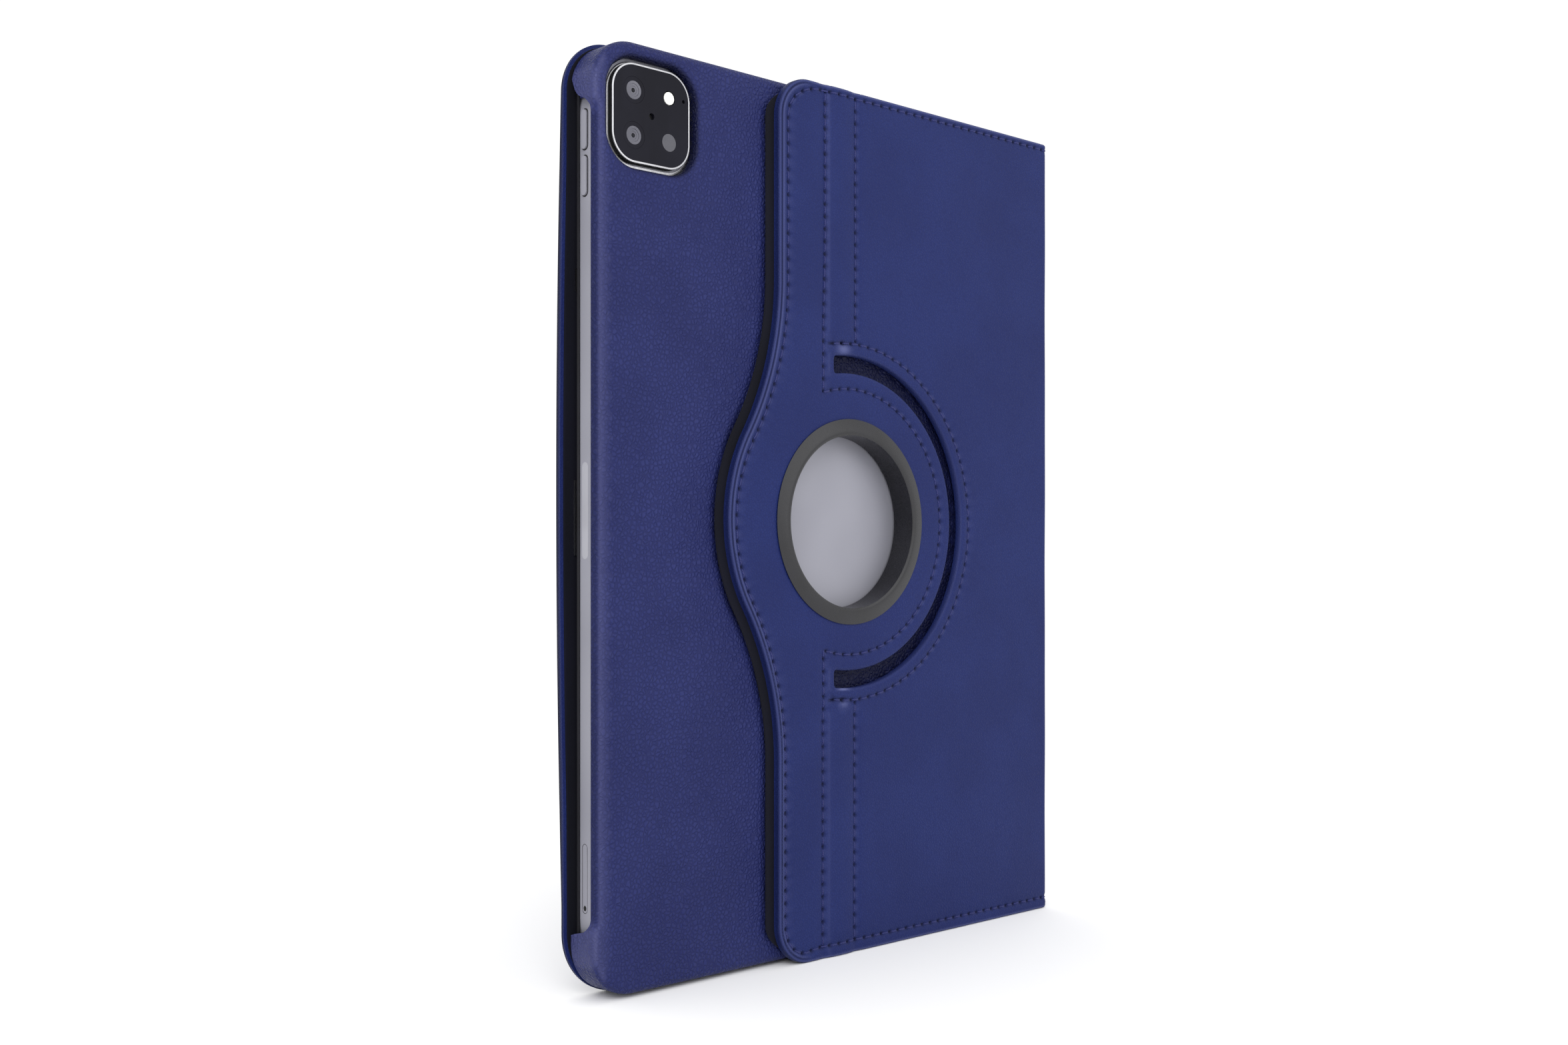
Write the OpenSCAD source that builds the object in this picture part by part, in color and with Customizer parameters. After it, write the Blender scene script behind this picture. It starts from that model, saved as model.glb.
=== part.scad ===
// Rotating folio case for an eleven-inch tablet, closed, with the tablet in its tray.
// Frame: +Z runs up the long side, the back of the case faces -Y, the spine is on +X.
// The origin is at the middle of the case's footprint, on the surface that it stands on.

/* [Tablet] */
// Short side of the tablet
tablet_w = 178.5; // [170:0.1:190]
// Long side of the tablet
tablet_h = 247.6; // [235:0.1:260]
// Thickness of the tablet without its camera
tablet_t = 5.9; // [5.5:0.1:7]
// Corner radius of the tablet
tablet_r = 18; // [14:0.5:20]
// Side of the square camera bump
camera_size = 26.6; // [24:0.1:28]
// How far the camera bump stands out of the tablet's back
camera_proud = 2.2; // [1:0.1:2.6]

/* [Tray] */
// Tray wall beside the tablet, covering included
side_wall = 1.95; // [1.6:0.05:2]
// Tray wall above and below the tablet, covering included
end_wall = 2.5; // [2:0.1:2.8]
// Thickness of the hard shell's back
shell_t = 2.4; // [2:0.1:3.2]
// Thickness of the leather that covers the tray
tray_leather_t = 0.6; // [0.5:0.1:0.9]
// Thickness of the soft felt under the tablet
felt_t = 0.6; // [0.4:0.1:0.8]
// How far the lip reaches over the glass
lip_reach = 1.6; // [1:0.1:2.5]
// Side of the square window around the camera
camera_window = 30.6; // [29.5:0.1:31]

/* [Cover] */
// Overall width of the closed case, spine included
cover_w = 185.8; // [185.8:0.1:188]
// Overall height of the cover
cover_h = 254.6; // [254:0.1:258]
// Thickness of the outer skin
skin_t = 0.8; // [0.6:0.1:1.2]
// Thickness of the stiff board in the back panels
board_t = 1.5; // [1:0.1:2]
// Thickness of the stiff board in the front cover
front_board_t = 1.7; // [1.2:0.1:2.2]
// Thickness of the soft lining
lining_t = 0.5; // [0.3:0.1:0.8]
// Width of the skin's turned edge
hem = 1; // [0.8:0.1:2]
// Corner radius of the front cover's free corners
front_corner_r = 19; // [12:0.5:22]

/* [Swivel ring] */
// Inner radius of the ring, the window in the back
ring_inner_r = 25.2; // [22:0.1:26]
// Outer radius of the ring's visible flange
ring_outer_r = 30.3; // [29:0.1:31]
// How far the ring stands out of the back
ring_proud = 1.2; // [0.8:0.1:2]

/* [Flap and fold] */
// Distance from the ring's axis to the flap's straight edge
flap_reach = 28.4; // [28:0.1:32]
// Radius of the round bulge around the ring
bulge_r = 48.2; // [46:0.1:50]
// Radius of the sweep between the bulge and the straight edge
sweep_r = 85; // [70:1:95]
// Corner radius of the flap
flap_corner_r = 12; // [8:0.5:15]
// Radius of the disc inside the curved slot
disc_r = 43.9; // [42:0.1:44.5]
// Outer radius of the curved slot
slot_r = 49.1; // [48.5:0.1:50]
// Distance from the ring's axis to the fold's edge on the flap's side
fold_left = 11; // [10:0.1:13]
// Distance from the ring's axis to the fold's edge on the panel's side
fold_right = 2; // [1:0.1:4]

/* [Hidden] */
$fn = 96;

// Small clearances
slide_gap = 0.1;
swivel_gap = 1;
cover_gap = 0.4;

// Layers from the back of the case to its front, as positions along Y
lip_t = 0.7;
panel_t = skin_t + board_t + lining_t;
front_t = skin_t + front_board_t + lining_t;
tray_back_t = tray_leather_t + shell_t + felt_t;
tablet_gap = 0.05;
tray_depth = tray_back_t + tablet_t + 2 * tablet_gap + lip_t;
case_depth = panel_t + swivel_gap + tray_depth + cover_gap + front_t;
back_y = ring_proud - (case_depth + ring_proud) / 2;
tray_y = back_y + panel_t + swivel_gap;
shell_y = tray_y + tray_leather_t;
felt_y = shell_y + shell_t;
tablet_y = felt_y + felt_t + tablet_gap;
lip_y = tablet_y + tablet_t + tablet_gap;
front_y = tray_y + tray_depth + cover_gap;
axis_z = cover_h / 2;

// Tray outline and its openings
tray_w = tablet_w + 2 * side_wall;
tray_h = tablet_h + 2 * end_wall;
tray_r = tablet_r + 1.5;
camera_x = -71;
camera_z = 107.7;
camera_window_r = 9.5;
side_window_low = -108;
side_window_high = 110;
side_window_r = 4;
side_window_back = 1.5;
waist_depth = 1.2;
end_window_t = 5.6;
speaker_window_w = 42;
speaker_window_x = 58;
speaker_x = 48;
charge_window_w = 30;

// Cover layout
spine_t = skin_t + lining_t;
spine_x = cover_w / 2 - spine_t;
panel_right = spine_x - 0.3;
slot_end_x = -7;
sweep_z = sqrt(pow(bulge_r + sweep_r, 2) - pow(flap_reach + sweep_r, 2));
ridge_x = [12, -13, -38];
ridge_length = 150;
ridge_w = 2.4;
ridge_t = 0.7;
magnet_z = [-70, 0, 70];

// Swivel ring
tube_t = 2;
tube_outer_r = ring_inner_r + tube_t;
cover_hole_r = tube_outer_r + 0.4;
flange_lift = 0.3;
retainer_r = 33;
retainer_t = 1.4;

// Tablet details
side_y = tablet_y + tablet_t / 2;
glass_t = 0.7;
glass_inset = 1;
housing_back_t = 0.8;
housing_wall = 2.4;
display_t = 1;
display_border = 16;
battery_w = 120;
battery_h = 76;
battery_t = 2.6;
button_w = 2.2;
button_proud = 0.5;
button_travel = 0.4;
button_stem = 1.6;
volume_up_z = 102;
volume_down_z = 89.8;
volume_length = 10.4;
power_x = -69;
power_length = 14;
sim_z = -95;
sim_length = 18;
sim_w = 2;
sim_depth = 14;
pad_z = 1.8;
pad_length = 25.5;
pad_w = 2.6;
pad_t = 0.5;
camera_r = 7.6;
rim_t = 0.6;
camera_pocket = camera_proud - 1;
middle_dot_r = 0.9;
microphone_r = 0.5;
microphone_x = 11;
lens_r = 3.6;
lens_pitch = 12;
flash_r = 2;
sensor_r = 2.4;
usb_w = 9;
usb_t = 3.2;
usb_depth = 7;

leather_colour = "#363d6c";
lining_colour = "#2b2f4e";
board_colour = "#8a8578";
plastic_colour = "#3a3a40";
metal_colour = "#9a9aa4";
glass_colour = "#1c1c22";

// --- Shapes shared by several pieces ---

// An outline in X and Z, centred on the swivel axis, as a plate from y to y + t
module plate(y, t) {
    translate([0, y + t, axis_z])
        rotate([90, 0, 0])
            linear_extrude(t)
                children();
}

module rounded_rect(w, h, r) {
    square([w - 2 * r, h], center = true);
    square([w, h - 2 * r], center = true);
    for (sx = [-1, 1], sz = [-1, 1])
        translate([sx * (w / 2 - r), sz * (h / 2 - r)])
            circle(r);
}

module stadium(length, w) {
    square([w, length - w], center = true);
    for (s = [-1, 1])
        translate([0, s * (length - w) / 2])
            circle(w / 2);
}

// A rectangle from x0 to x1 with round corners at x0 only
module left_rounded_rect(x0, x1, h, r) {
    translate([x0 + r, -h / 2])
        square([x1 - x0 - r, h]);
    translate([x0, r - h / 2])
        square([x1 - x0, h - 2 * r]);
    intersection() {
        for (s = [-1, 1])
            translate([x0 + r, s * (h / 2 - r)])
                circle(r);
        translate([x0, -h / 2])
            square([x1 - x0, h]);
    }
}

// The tray's outline, with a shallow waist along the side window
module tray_outline(inset) {
    waist_low = side_window_low + side_window_r;
    waist_high = side_window_high - side_window_r;
    difference() {
        rounded_rect(tray_w - 2 * inset, tray_h - 2 * inset, tray_r - inset);
        translate([-tray_w / 2, (waist_low + waist_high) / 2])
            square([2 * (waist_depth + inset), waist_high - waist_low + 2 * inset], center = true);
    }
}

module tablet_outline(inset) {
    rounded_rect(tablet_w - 2 * inset, tablet_h - 2 * inset, tablet_r - inset);
}

// The sweeps that blend the round bulge into the flap's straight edge
module bulge_sweeps(inset) {
    along = (bulge_r - inset) / (bulge_r + sweep_r);
    centre_x = flap_reach + sweep_r;
    difference() {
        polygon([
            [-fold_left, sweep_z],
            [inset - flap_reach, sweep_z],
            [-along * centre_x, along * sweep_z],
            [-along * centre_x, -along * sweep_z],
            [inset - flap_reach, -sweep_z],
            [-fold_left, -sweep_z]
        ]);
        for (s = [-1, 1])
            translate([-centre_x, s * sweep_z])
                circle(sweep_r + inset, $fn = 360);
    }
}

// The stiff flap with the disc that the ring turns in
module flap_outline(inset) {
    difference() {
        union() {
            left_rounded_rect(inset - flap_reach, -fold_left - inset, cover_h - 2 * inset,
                flap_corner_r - inset);
            bulge_sweeps(inset);
            intersection() {
                circle(bulge_r - inset);
                translate([-bulge_r, -bulge_r])
                    square([bulge_r - fold_left - inset, 2 * bulge_r]);
            }
            circle(disc_r - inset);
        }
        circle(cover_hole_r + inset);
    }
}

// The stiff panel between the fold and the spine, cut back around the slot
module panel_outline(inset) {
    difference() {
        translate([fold_right + inset, inset - cover_h / 2])
            square([panel_right - fold_right - 2 * inset, cover_h - 2 * inset]);
        circle(slot_r + inset);
    }
}

// The soft strip between flap and panel, above and below the slot
module fold_outline() {
    difference() {
        translate([-fold_left, -cover_h / 2])
            square([fold_left + fold_right, cover_h]);
        circle(disc_r);
        intersection() {
            circle(slot_r);
            translate([slot_end_x, -slot_r])
                square([2 * slot_r, 2 * slot_r]);
        }
    }
}

module front_outline(inset) {
    left_rounded_rect(inset - cover_w / 2, panel_right - inset, cover_h - 2 * inset,
        front_corner_r - inset);
}

// The window along the tray's button side, open towards the front
module side_window() {
    depth = 2 * tray_depth;
    translate([-tray_w, 0, axis_z + (side_window_low + side_window_high) / 2])
        rotate([90, 0, 90])
            linear_extrude(tray_w / 2 + side_wall)
                translate([tablet_y - side_window_back + depth / 2, 0])
                    rounded_rect(depth, side_window_high - side_window_low, side_window_r);
}

// A window through the tray's top or bottom wall, deep enough to clear the round corners
module end_window(x, side, w) {
    translate([x, side_y, axis_z + side * tray_h / 2])
        linear_extrude(4 * end_wall, center = true)
            rounded_rect(w, end_window_t, end_window_t / 2 - 0.1);
}

module tray_windows() {
    side_window();
    for (sx = [-1, 1], side = [-1, 1])
        end_window(sx * speaker_window_x, side, speaker_window_w);
    end_window(0, -1, charge_window_w);
}

module camera_window_outline() {
    translate([camera_x, camera_z])
        rounded_rect(camera_window, camera_window, camera_window_r);
}

// --- Back cover ---

module flap_skin() {
    color(leather_colour) difference() {
        plate(back_y, panel_t) flap_outline(0);
        plate(back_y + skin_t, panel_t) flap_outline(hem);
    }
}

module flap_board() {
    color(board_colour) plate(back_y + skin_t, board_t) flap_outline(hem);
}

module flap_lining() {
    color(lining_colour) plate(back_y + skin_t + board_t, lining_t) flap_outline(hem);
}

module panel_skin() {
    color(leather_colour) difference() {
        plate(back_y, panel_t) panel_outline(0);
        plate(back_y + skin_t, panel_t) panel_outline(hem);
    }
}

module panel_board() {
    color(board_colour) plate(back_y + skin_t, board_t) panel_outline(hem);
}

module panel_lining() {
    color(lining_colour) plate(back_y + skin_t + board_t, lining_t) panel_outline(hem);
}

module fold_strip() {
    color(leather_colour) plate(back_y, skin_t + lining_t) fold_outline();
}

module slip_washer() {
    color("#222226") plate(back_y + panel_t, swivel_gap - slide_gap)
        difference() {
            circle(disc_r - 3);
            circle(cover_hole_r + 1);
        }
}

// --- Tray ---

module tray_leather() {
    color(leather_colour) difference() {
        plate(tray_y, tray_depth) tray_outline(0);
        plate(shell_y, tray_depth) tray_outline(tray_leather_t);
        plate(tray_y - 1, tray_depth) camera_window_outline();
        plate(tray_y - 1, tray_depth) circle(tube_outer_r);
        tray_windows();
    }
}

module tray_shell() {
    color(plastic_colour) difference() {
        plate(shell_y, tray_depth - tray_leather_t) tray_outline(tray_leather_t);
        plate(felt_y, lip_y - felt_y) tablet_outline(-slide_gap);
        plate(felt_y, tray_depth) tablet_outline(lip_reach);
        plate(shell_y - 1, tray_depth) camera_window_outline();
        plate(shell_y - 1, tray_depth) circle(tube_outer_r);
        plate(felt_y - retainer_t, tray_depth) circle(retainer_r);
        tray_windows();
    }
}

module tray_felt() {
    color(lining_colour) difference() {
        plate(felt_y, felt_t) tablet_outline(0.5);
        plate(felt_y - 1, felt_t + 2) camera_window_outline();
        plate(felt_y - 1, felt_t + 2) circle(ring_inner_r + 0.3);
    }
}

module ring_bezel() {
    flange_t = ring_proud - flange_lift;
    color(plastic_colour) translate([0, back_y, axis_z]) rotate([-90, 0, 0]) rotate_extrude()
        polygon([
            [ring_inner_r + 0.4, -ring_proud],
            [ring_outer_r - 0.6, -ring_proud],
            [ring_outer_r, -ring_proud + flange_t - 0.3],
            [ring_outer_r, -flange_lift],
            [tube_outer_r, -flange_lift],
            [tube_outer_r, felt_y - back_y],
            [ring_inner_r, felt_y - back_y],
            [ring_inner_r, 0.4 - ring_proud]
        ]);
}

module ring_retainer() {
    color(plastic_colour) plate(felt_y - retainer_t, retainer_t)
        difference() {
            circle(retainer_r);
            circle(tube_outer_r);
        }
}

// --- Tablet ---

// Turns a shape drawn in X and Y so that it faces out of the tablet's left side
module on_left_side(z) {
    translate([-tablet_w / 2, side_y, axis_z + z])
        rotate([90, 0, -90])
            children();
}

// Turns a shape drawn in X and Y so that it faces up out of the tablet's top
module on_top_side(x) {
    translate([x, side_y, axis_z + tablet_h / 2])
        rotate([0, 0, 90])
            children();
}

module speaker_holes(side) {
    for (sx = [-1, 1], i = [-3:3])
        translate([sx * speaker_x + 3 * i, side_y, axis_z + side * tablet_h / 2])
            cylinder(r = 0.6, h = 3, center = true, $fn = 16);
}

module tablet_housing() {
    cavity_y = tablet_y + housing_back_t;
    glass_y = tablet_y + tablet_t - glass_t;
    pocket = 2 * (button_stem + button_travel + slide_gap);
    color(metal_colour) difference() {
        plate(tablet_y, tablet_t) tablet_outline(0);
        plate(glass_y, tablet_t) tablet_outline(glass_inset);
        plate(cavity_y, tablet_t) tablet_outline(housing_wall);
        for (z = [volume_up_z, volume_down_z])
            on_left_side(z)
                linear_extrude(pocket, center = true)
                    stadium(volume_length + 2 * slide_gap, button_w + 2 * slide_gap);
        on_left_side(sim_z)
            linear_extrude(8, center = true)
                stadium(sim_length + 2 * slide_gap, sim_w + 2 * slide_gap);
        on_left_side(pad_z)
            linear_extrude(2 * pad_t, center = true)
                stadium(pad_length, pad_w);
        on_top_side(power_x)
            linear_extrude(pocket, center = true)
                stadium(power_length + 2 * slide_gap, button_w + 2 * slide_gap);
        translate([0, side_y, axis_z - tablet_h / 2])
            linear_extrude(8, center = true)
                rotate(90)
                    stadium(usb_w, usb_t);
        for (side = [-1, 1])
            speaker_holes(side);
    }
}

module tablet_glass() {
    color(glass_colour) plate(tablet_y + tablet_t - glass_t, glass_t)
        tablet_outline(glass_inset);
}

module display_panel() {
    color("#101014") plate(tablet_y + tablet_t - glass_t - display_t, display_t)
        rounded_rect(tablet_w - display_border, tablet_h - display_border, 8);
}

module battery_pack() {
    color("#202022") for (sz = [-1, 1])
        plate(tablet_y + housing_back_t, battery_t)
            translate([8, sz * (battery_h + 8) / 2])
                rounded_rect(battery_w, battery_h, 3);
}

module camera_bump() {
    color(metal_colour) difference() {
        plate(tablet_y - camera_proud, camera_proud)
            translate([camera_x, camera_z])
                rounded_rect(camera_size, camera_size, camera_r);
        plate(tablet_y - camera_proud - 1, camera_pocket + 1)
            translate([camera_x, camera_z])
                rounded_rect(camera_size - 2 * rim_t, camera_size - 2 * rim_t, camera_r - rim_t);
    }
}

// A round camera piece, placed from the middle of the bump
module camera_disc(x, z, r) {
    plate(tablet_y - camera_proud, camera_pocket)
        translate([camera_x + x, camera_z + z])
            circle(r);
}

module camera_glass() {
    color(glass_colour) plate(tablet_y - camera_proud, camera_pocket)
        translate([camera_x, camera_z])
            difference() {
                rounded_rect(camera_size - 2 * rim_t, camera_size - 2 * rim_t, camera_r - rim_t);
                for (s = [-1, 1])
                    translate([-lens_pitch / 2, s * lens_pitch / 2])
                        circle(lens_r);
                translate([lens_pitch / 2, lens_pitch / 2])
                    circle(flash_r);
                translate([lens_pitch / 2, -lens_pitch / 2])
                    circle(sensor_r);
                circle(middle_dot_r);
                translate([microphone_x, lens_pitch / 2])
                    circle(microphone_r);
            }
}

module camera_lenses() {
    color("#2c2c36") for (s = [-1, 1])
        camera_disc(-lens_pitch / 2, s * lens_pitch / 2, lens_r);
}

module camera_flash() {
    color("#f2f0e4") camera_disc(lens_pitch / 2, lens_pitch / 2, flash_r);
}

module depth_sensor() {
    color("#4c4c54") camera_disc(lens_pitch / 2, -lens_pitch / 2, sensor_r);
}

module charging_pad() {
    color("#b4b4bc") on_left_side(pad_z)
        translate([0, 0, -pad_t])
            linear_extrude(pad_t)
                stadium(pad_length, pad_w);
}

module usb_socket() {
    color("#6a6a70") translate([0, side_y, axis_z - tablet_h / 2])
        linear_extrude(usb_depth)
            rotate(90)
                difference() {
                    stadium(usb_w, usb_t);
                    stadium(usb_w - 0.6, usb_t - 0.6);
                }
}

module side_button(length) {
    translate([0, 0, -button_stem])
        linear_extrude(button_stem + button_proud)
            stadium(length, button_w);
}

module volume_up_button() {
    color(metal_colour) on_left_side(volume_up_z) side_button(volume_length);
}

module volume_down_button() {
    color(metal_colour) on_left_side(volume_down_z) side_button(volume_length);
}

module power_button() {
    color(metal_colour) on_top_side(power_x) side_button(power_length);
}

// The tray's outer cap fills the slot, and its thin frame reaches into the tablet
module sim_tray() {
    cap_t = 1;
    color(metal_colour) on_left_side(sim_z) {
        translate([0, 0, -cap_t])
            linear_extrude(cap_t)
                difference() {
                    stadium(sim_length, sim_w);
                    translate([0, 1.2 - sim_length / 2])
                        circle(0.5);
                }
        translate([0, 0, -sim_depth])
            linear_extrude(sim_depth - cap_t)
                square([0.8, sim_length - 5], center = true);
    }
}

// --- Spine and front cover ---

// The case's cross-section, rounded where the spine turns the corners
module spine_strip(x, t) {
    linear_extrude(cover_h)
        intersection() {
            translate([0, back_y + case_depth / 2])
                rounded_rect(cover_w, case_depth, 2);
            translate([x, back_y])
                square([t, case_depth]);
        }
}

module spine_skin() {
    color(leather_colour) spine_strip(spine_x + lining_t, skin_t);
}

module spine_lining() {
    color(lining_colour) spine_strip(spine_x, lining_t);
}

module front_skin() {
    color(leather_colour) difference() {
        plate(front_y, front_t) front_outline(0);
        plate(front_y - skin_t, front_t) front_outline(hem);
    }
}

module magnet_cavities(play) {
    for (z = magnet_z)
        plate(front_y + lining_t + 0.3, 1)
            translate([6 - cover_w / 2, z])
                square([4 + play, 20 + play], center = true);
}

module front_board() {
    color(board_colour) difference() {
        plate(front_y + lining_t, front_board_t) front_outline(hem);
        magnet_cavities(0.2);
    }
}

module front_lining() {
    color(lining_colour) plate(front_y, lining_t) front_outline(hem);
}

module stand_ridges() {
    color(lining_colour) for (x = ridge_x)
        plate(front_y - ridge_t, ridge_t)
            translate([x, 0])
                square([ridge_w, ridge_length], center = true);
}

module cover_magnets() {
    color("#b8b8bc") magnet_cavities(0);
}

flap_skin();
flap_board();
flap_lining();
panel_skin();
panel_board();
panel_lining();
fold_strip();
slip_washer();
tray_leather();
tray_shell();
tray_felt();
ring_bezel();
ring_retainer();
tablet_housing();
tablet_glass();
display_panel();
battery_pack();
camera_bump();
camera_glass();
camera_lenses();
camera_flash();
depth_sensor();
charging_pad();
usb_socket();
volume_up_button();
volume_down_button();
power_button();
sim_tray();
spine_skin();
spine_lining();
front_skin();
front_board();
front_lining();
stand_ridges();
cover_magnets();
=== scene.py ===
"""Looks of the rotating folio case. Lengths are in millimetres until a mesh is made, then in metres."""
import math

import bmesh
import bpy
import numpy as np
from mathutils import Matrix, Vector
from mathutils.geometry import delaunay_2d_cdt


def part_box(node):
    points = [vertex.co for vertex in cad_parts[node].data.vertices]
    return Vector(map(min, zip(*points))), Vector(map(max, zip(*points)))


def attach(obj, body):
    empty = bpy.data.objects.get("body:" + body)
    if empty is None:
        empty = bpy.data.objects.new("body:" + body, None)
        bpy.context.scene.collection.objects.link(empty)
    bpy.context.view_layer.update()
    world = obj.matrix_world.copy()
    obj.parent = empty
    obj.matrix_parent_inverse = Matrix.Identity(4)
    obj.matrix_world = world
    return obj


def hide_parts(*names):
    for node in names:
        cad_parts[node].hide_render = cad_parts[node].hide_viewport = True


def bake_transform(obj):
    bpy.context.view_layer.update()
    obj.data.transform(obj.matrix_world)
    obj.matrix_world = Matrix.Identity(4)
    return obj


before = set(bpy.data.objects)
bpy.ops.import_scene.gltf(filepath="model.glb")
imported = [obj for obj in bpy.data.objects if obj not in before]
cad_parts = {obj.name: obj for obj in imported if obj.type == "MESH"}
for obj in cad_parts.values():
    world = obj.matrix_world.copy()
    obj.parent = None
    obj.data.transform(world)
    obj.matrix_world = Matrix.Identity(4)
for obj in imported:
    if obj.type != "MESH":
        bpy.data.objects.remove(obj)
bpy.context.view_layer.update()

MM = 0.001
FRONT_BODY = "front_cover"

# ---------------------------------------------------------------- places from the CAD frame


def box_mm(node):
    """The lowest and highest corner of a CAD node, in millimetres."""
    low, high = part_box(node)
    return Vector(low) / MM, Vector(high) / MM


panel_low, panel_high = box_mm("panel_skin")
flap_low, flap_high = box_mm("flap_skin")
spine_low, spine_high = box_mm("spine_skin")
front_low, front_high = box_mm("front_skin")
tray_low, tray_high = box_mm("tray_leather")
shell_low, shell_high = box_mm("tray_shell")
tablet_low, tablet_high = box_mm("tablet_housing")
bezel_low, bezel_high = box_mm("ring_bezel")
bump_low, bump_high = box_mm("camera_bump")
felt_low, felt_high = box_mm("tray_felt")

AXIS_Z = (panel_low.z + panel_high.z) / 2
HALF_H = (panel_high.z - panel_low.z) / 2
BACK_Y = panel_low.y
PANEL_T = panel_high.y - panel_low.y
FRONT_Y = front_high.y
FRONT_T = front_high.y - front_low.y
SPINE_X = spine_high.x
COVER_LEFT = front_low.x
MIDDLE_Y = (BACK_Y + FRONT_Y) / 2
BULGE_R = -flap_low.x
RING_R = bezel_high.x
TRAY_HALF_W = tray_high.x
TRAY_HALF_H = (tray_high.z - tray_low.z) / 2

# Sizes of the soft parts
FLAP_REACH = 29.2
SWEEP_R = 85.0
FLAP_CORNER_R = 12.0
DISC_R = 43.9
SLOT_R = 49.1
SLOT_END_X = -7.0
FOLD_LEFT = -11.1
FOLD_RIGHT = 1.75
HOLE_R = 27.6
TURN_R = 2.0
FRONT_TOP_R = 14.5
FRONT_BOTTOM_R = 17.5
SKIN_T = 0.9
LINING_T = 0.5
BOARD_END = 88.0
STITCH_PITCH = 3.65

# ---------------------------------------------------------------- meshes


def make_object(name, points_mm, faces, material, smooth=True):
    """A mesh object from points in millimetres."""
    mesh = bpy.data.meshes.new(name)
    mesh.from_pydata((np.asarray(points_mm, float) * MM).tolist(), [], faces)
    mesh.validate()
    mesh.shade_smooth() if smooth else mesh.shade_flat()
    made = bpy.data.objects.new(name, mesh)
    bpy.context.scene.collection.objects.link(made)
    if material is not None:
        made.data.materials.append(material)
    return made


def sharpen(made, degrees=40):
    """Keeps smooth shading only across edges that bend less than this."""
    made.data.set_sharp_from_angle(angle=math.radians(degrees))
    return made


def settle(made):
    """Replaces the object's mesh by what its modifiers make of it."""
    graph = bpy.context.evaluated_depsgraph_get()
    mesh = bpy.data.meshes.new_from_object(made.evaluated_get(graph))
    made.modifiers.clear()
    made.data = mesh


def cut(made, cutters):
    """Takes the cutters out of the object."""
    for cutter in cutters:
        modifier = made.modifiers.new("Cut", "BOOLEAN")
        modifier.object = cutter
        modifier.operation = "DIFFERENCE"
        modifier.solver = "EXACT"
    settle(made)
    for cutter in cutters:
        bpy.data.objects.remove(cutter)


def arc(centre, r, start, end, step=1.0):
    """Points on an arc from one angle to another, in degrees."""
    count = max(2, int(abs(math.radians(end - start)) * r / step) + 1)
    angles = np.radians(np.linspace(start, end, count))
    return np.column_stack([centre[0] + r * np.cos(angles), centre[1] + r * np.sin(angles)])


def line(start, end, step=1.0):
    """Points on a straight line, both ends included."""
    start, end = np.array(start, float), np.array(end, float)
    count = max(2, int(np.linalg.norm(end - start) / step) + 1)
    return start + (end - start) * np.linspace(0, 1, count)[:, None]


def joined(*parts):
    """One path from several, without doubled points."""
    points = np.vstack(parts)
    steps = np.linalg.norm(np.diff(points, axis=0), axis=1)
    return points[np.concatenate([[True], steps > 1e-4])]


def resampled(path, step):
    """The same path with evenly spaced points."""
    lengths = np.concatenate([[0], np.cumsum(np.linalg.norm(np.diff(path, axis=0), axis=1))])
    count = max(2, int(round(lengths[-1] / step)) + 1)
    at = np.linspace(0, lengths[-1], count)
    return np.column_stack([np.interp(at, lengths, path[:, i]) for i in range(path.shape[1])])


def softened(loop, passes):
    """A closed loop with its corners rounded a little."""
    for _ in range(passes):
        loop = (np.roll(loop, 1, axis=0) + 2 * loop + np.roll(loop, -1, axis=0)) / 4
    return loop


def left_normals(path, closed=False):
    """Unit vectors to the left of each point of a path."""
    if closed:
        along = np.roll(path, -1, axis=0) - np.roll(path, 1, axis=0)
    else:
        along = np.gradient(path, axis=0)
    along /= np.linalg.norm(along, axis=1)[:, None]
    return np.column_stack([-along[:, 1], along[:, 0]])


def inside(points, loop):
    """Which points lie inside a closed loop."""
    x, z = points[:, 0], points[:, 1]
    result = np.zeros(len(points), bool)
    for (x0, z0), (x1, z1) in zip(loop, np.roll(loop, -1, axis=0)):
        if z0 == z1:
            continue
        crosses = (z0 > z) != (z1 > z)
        result ^= crosses & (x < x0 + (z - z0) * (x1 - x0) / (z1 - z0))
    return result


def path_distance(points, path):
    """Distance of each point from a path, and how far along the path the nearest place is."""
    best = np.full(len(points), 1e9)
    along = np.zeros(len(points))
    travelled = 0.0
    for start, end in zip(path[:-1], path[1:]):
        step = end - start
        length = float(np.linalg.norm(step))
        share = np.clip((points - start) @ step / length**2, 0, 1)
        gap = np.linalg.norm(points - start - share[:, None] * step, axis=1)
        nearer = gap < best
        best[nearer] = gap[nearer]
        along[nearer] = travelled + share[nearer] * length
        travelled += length
    return best, along


def smooth_step(value, low, high):
    """0 below low, 1 above high, and an even curve in between."""
    t = np.clip((value - low) / (high - low), 0, 1)
    return t * t * (3 - 2 * t)


def bell(distance, width):
    """1 at no distance, falling away over the width."""
    return np.exp(-((distance / width) ** 2))


def grid_points(low, high, step):
    """Points of a triangular grid over a rectangle."""
    rows = np.arange(low[1], high[1], step * 0.866)
    columns = np.arange(low[0], high[0], step)
    x, z = np.meshgrid(columns, rows)
    x = x + np.where(np.arange(len(rows)) % 2, step / 2, 0)[:, None]
    return np.column_stack([x.ravel(), z.ravel()])


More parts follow.
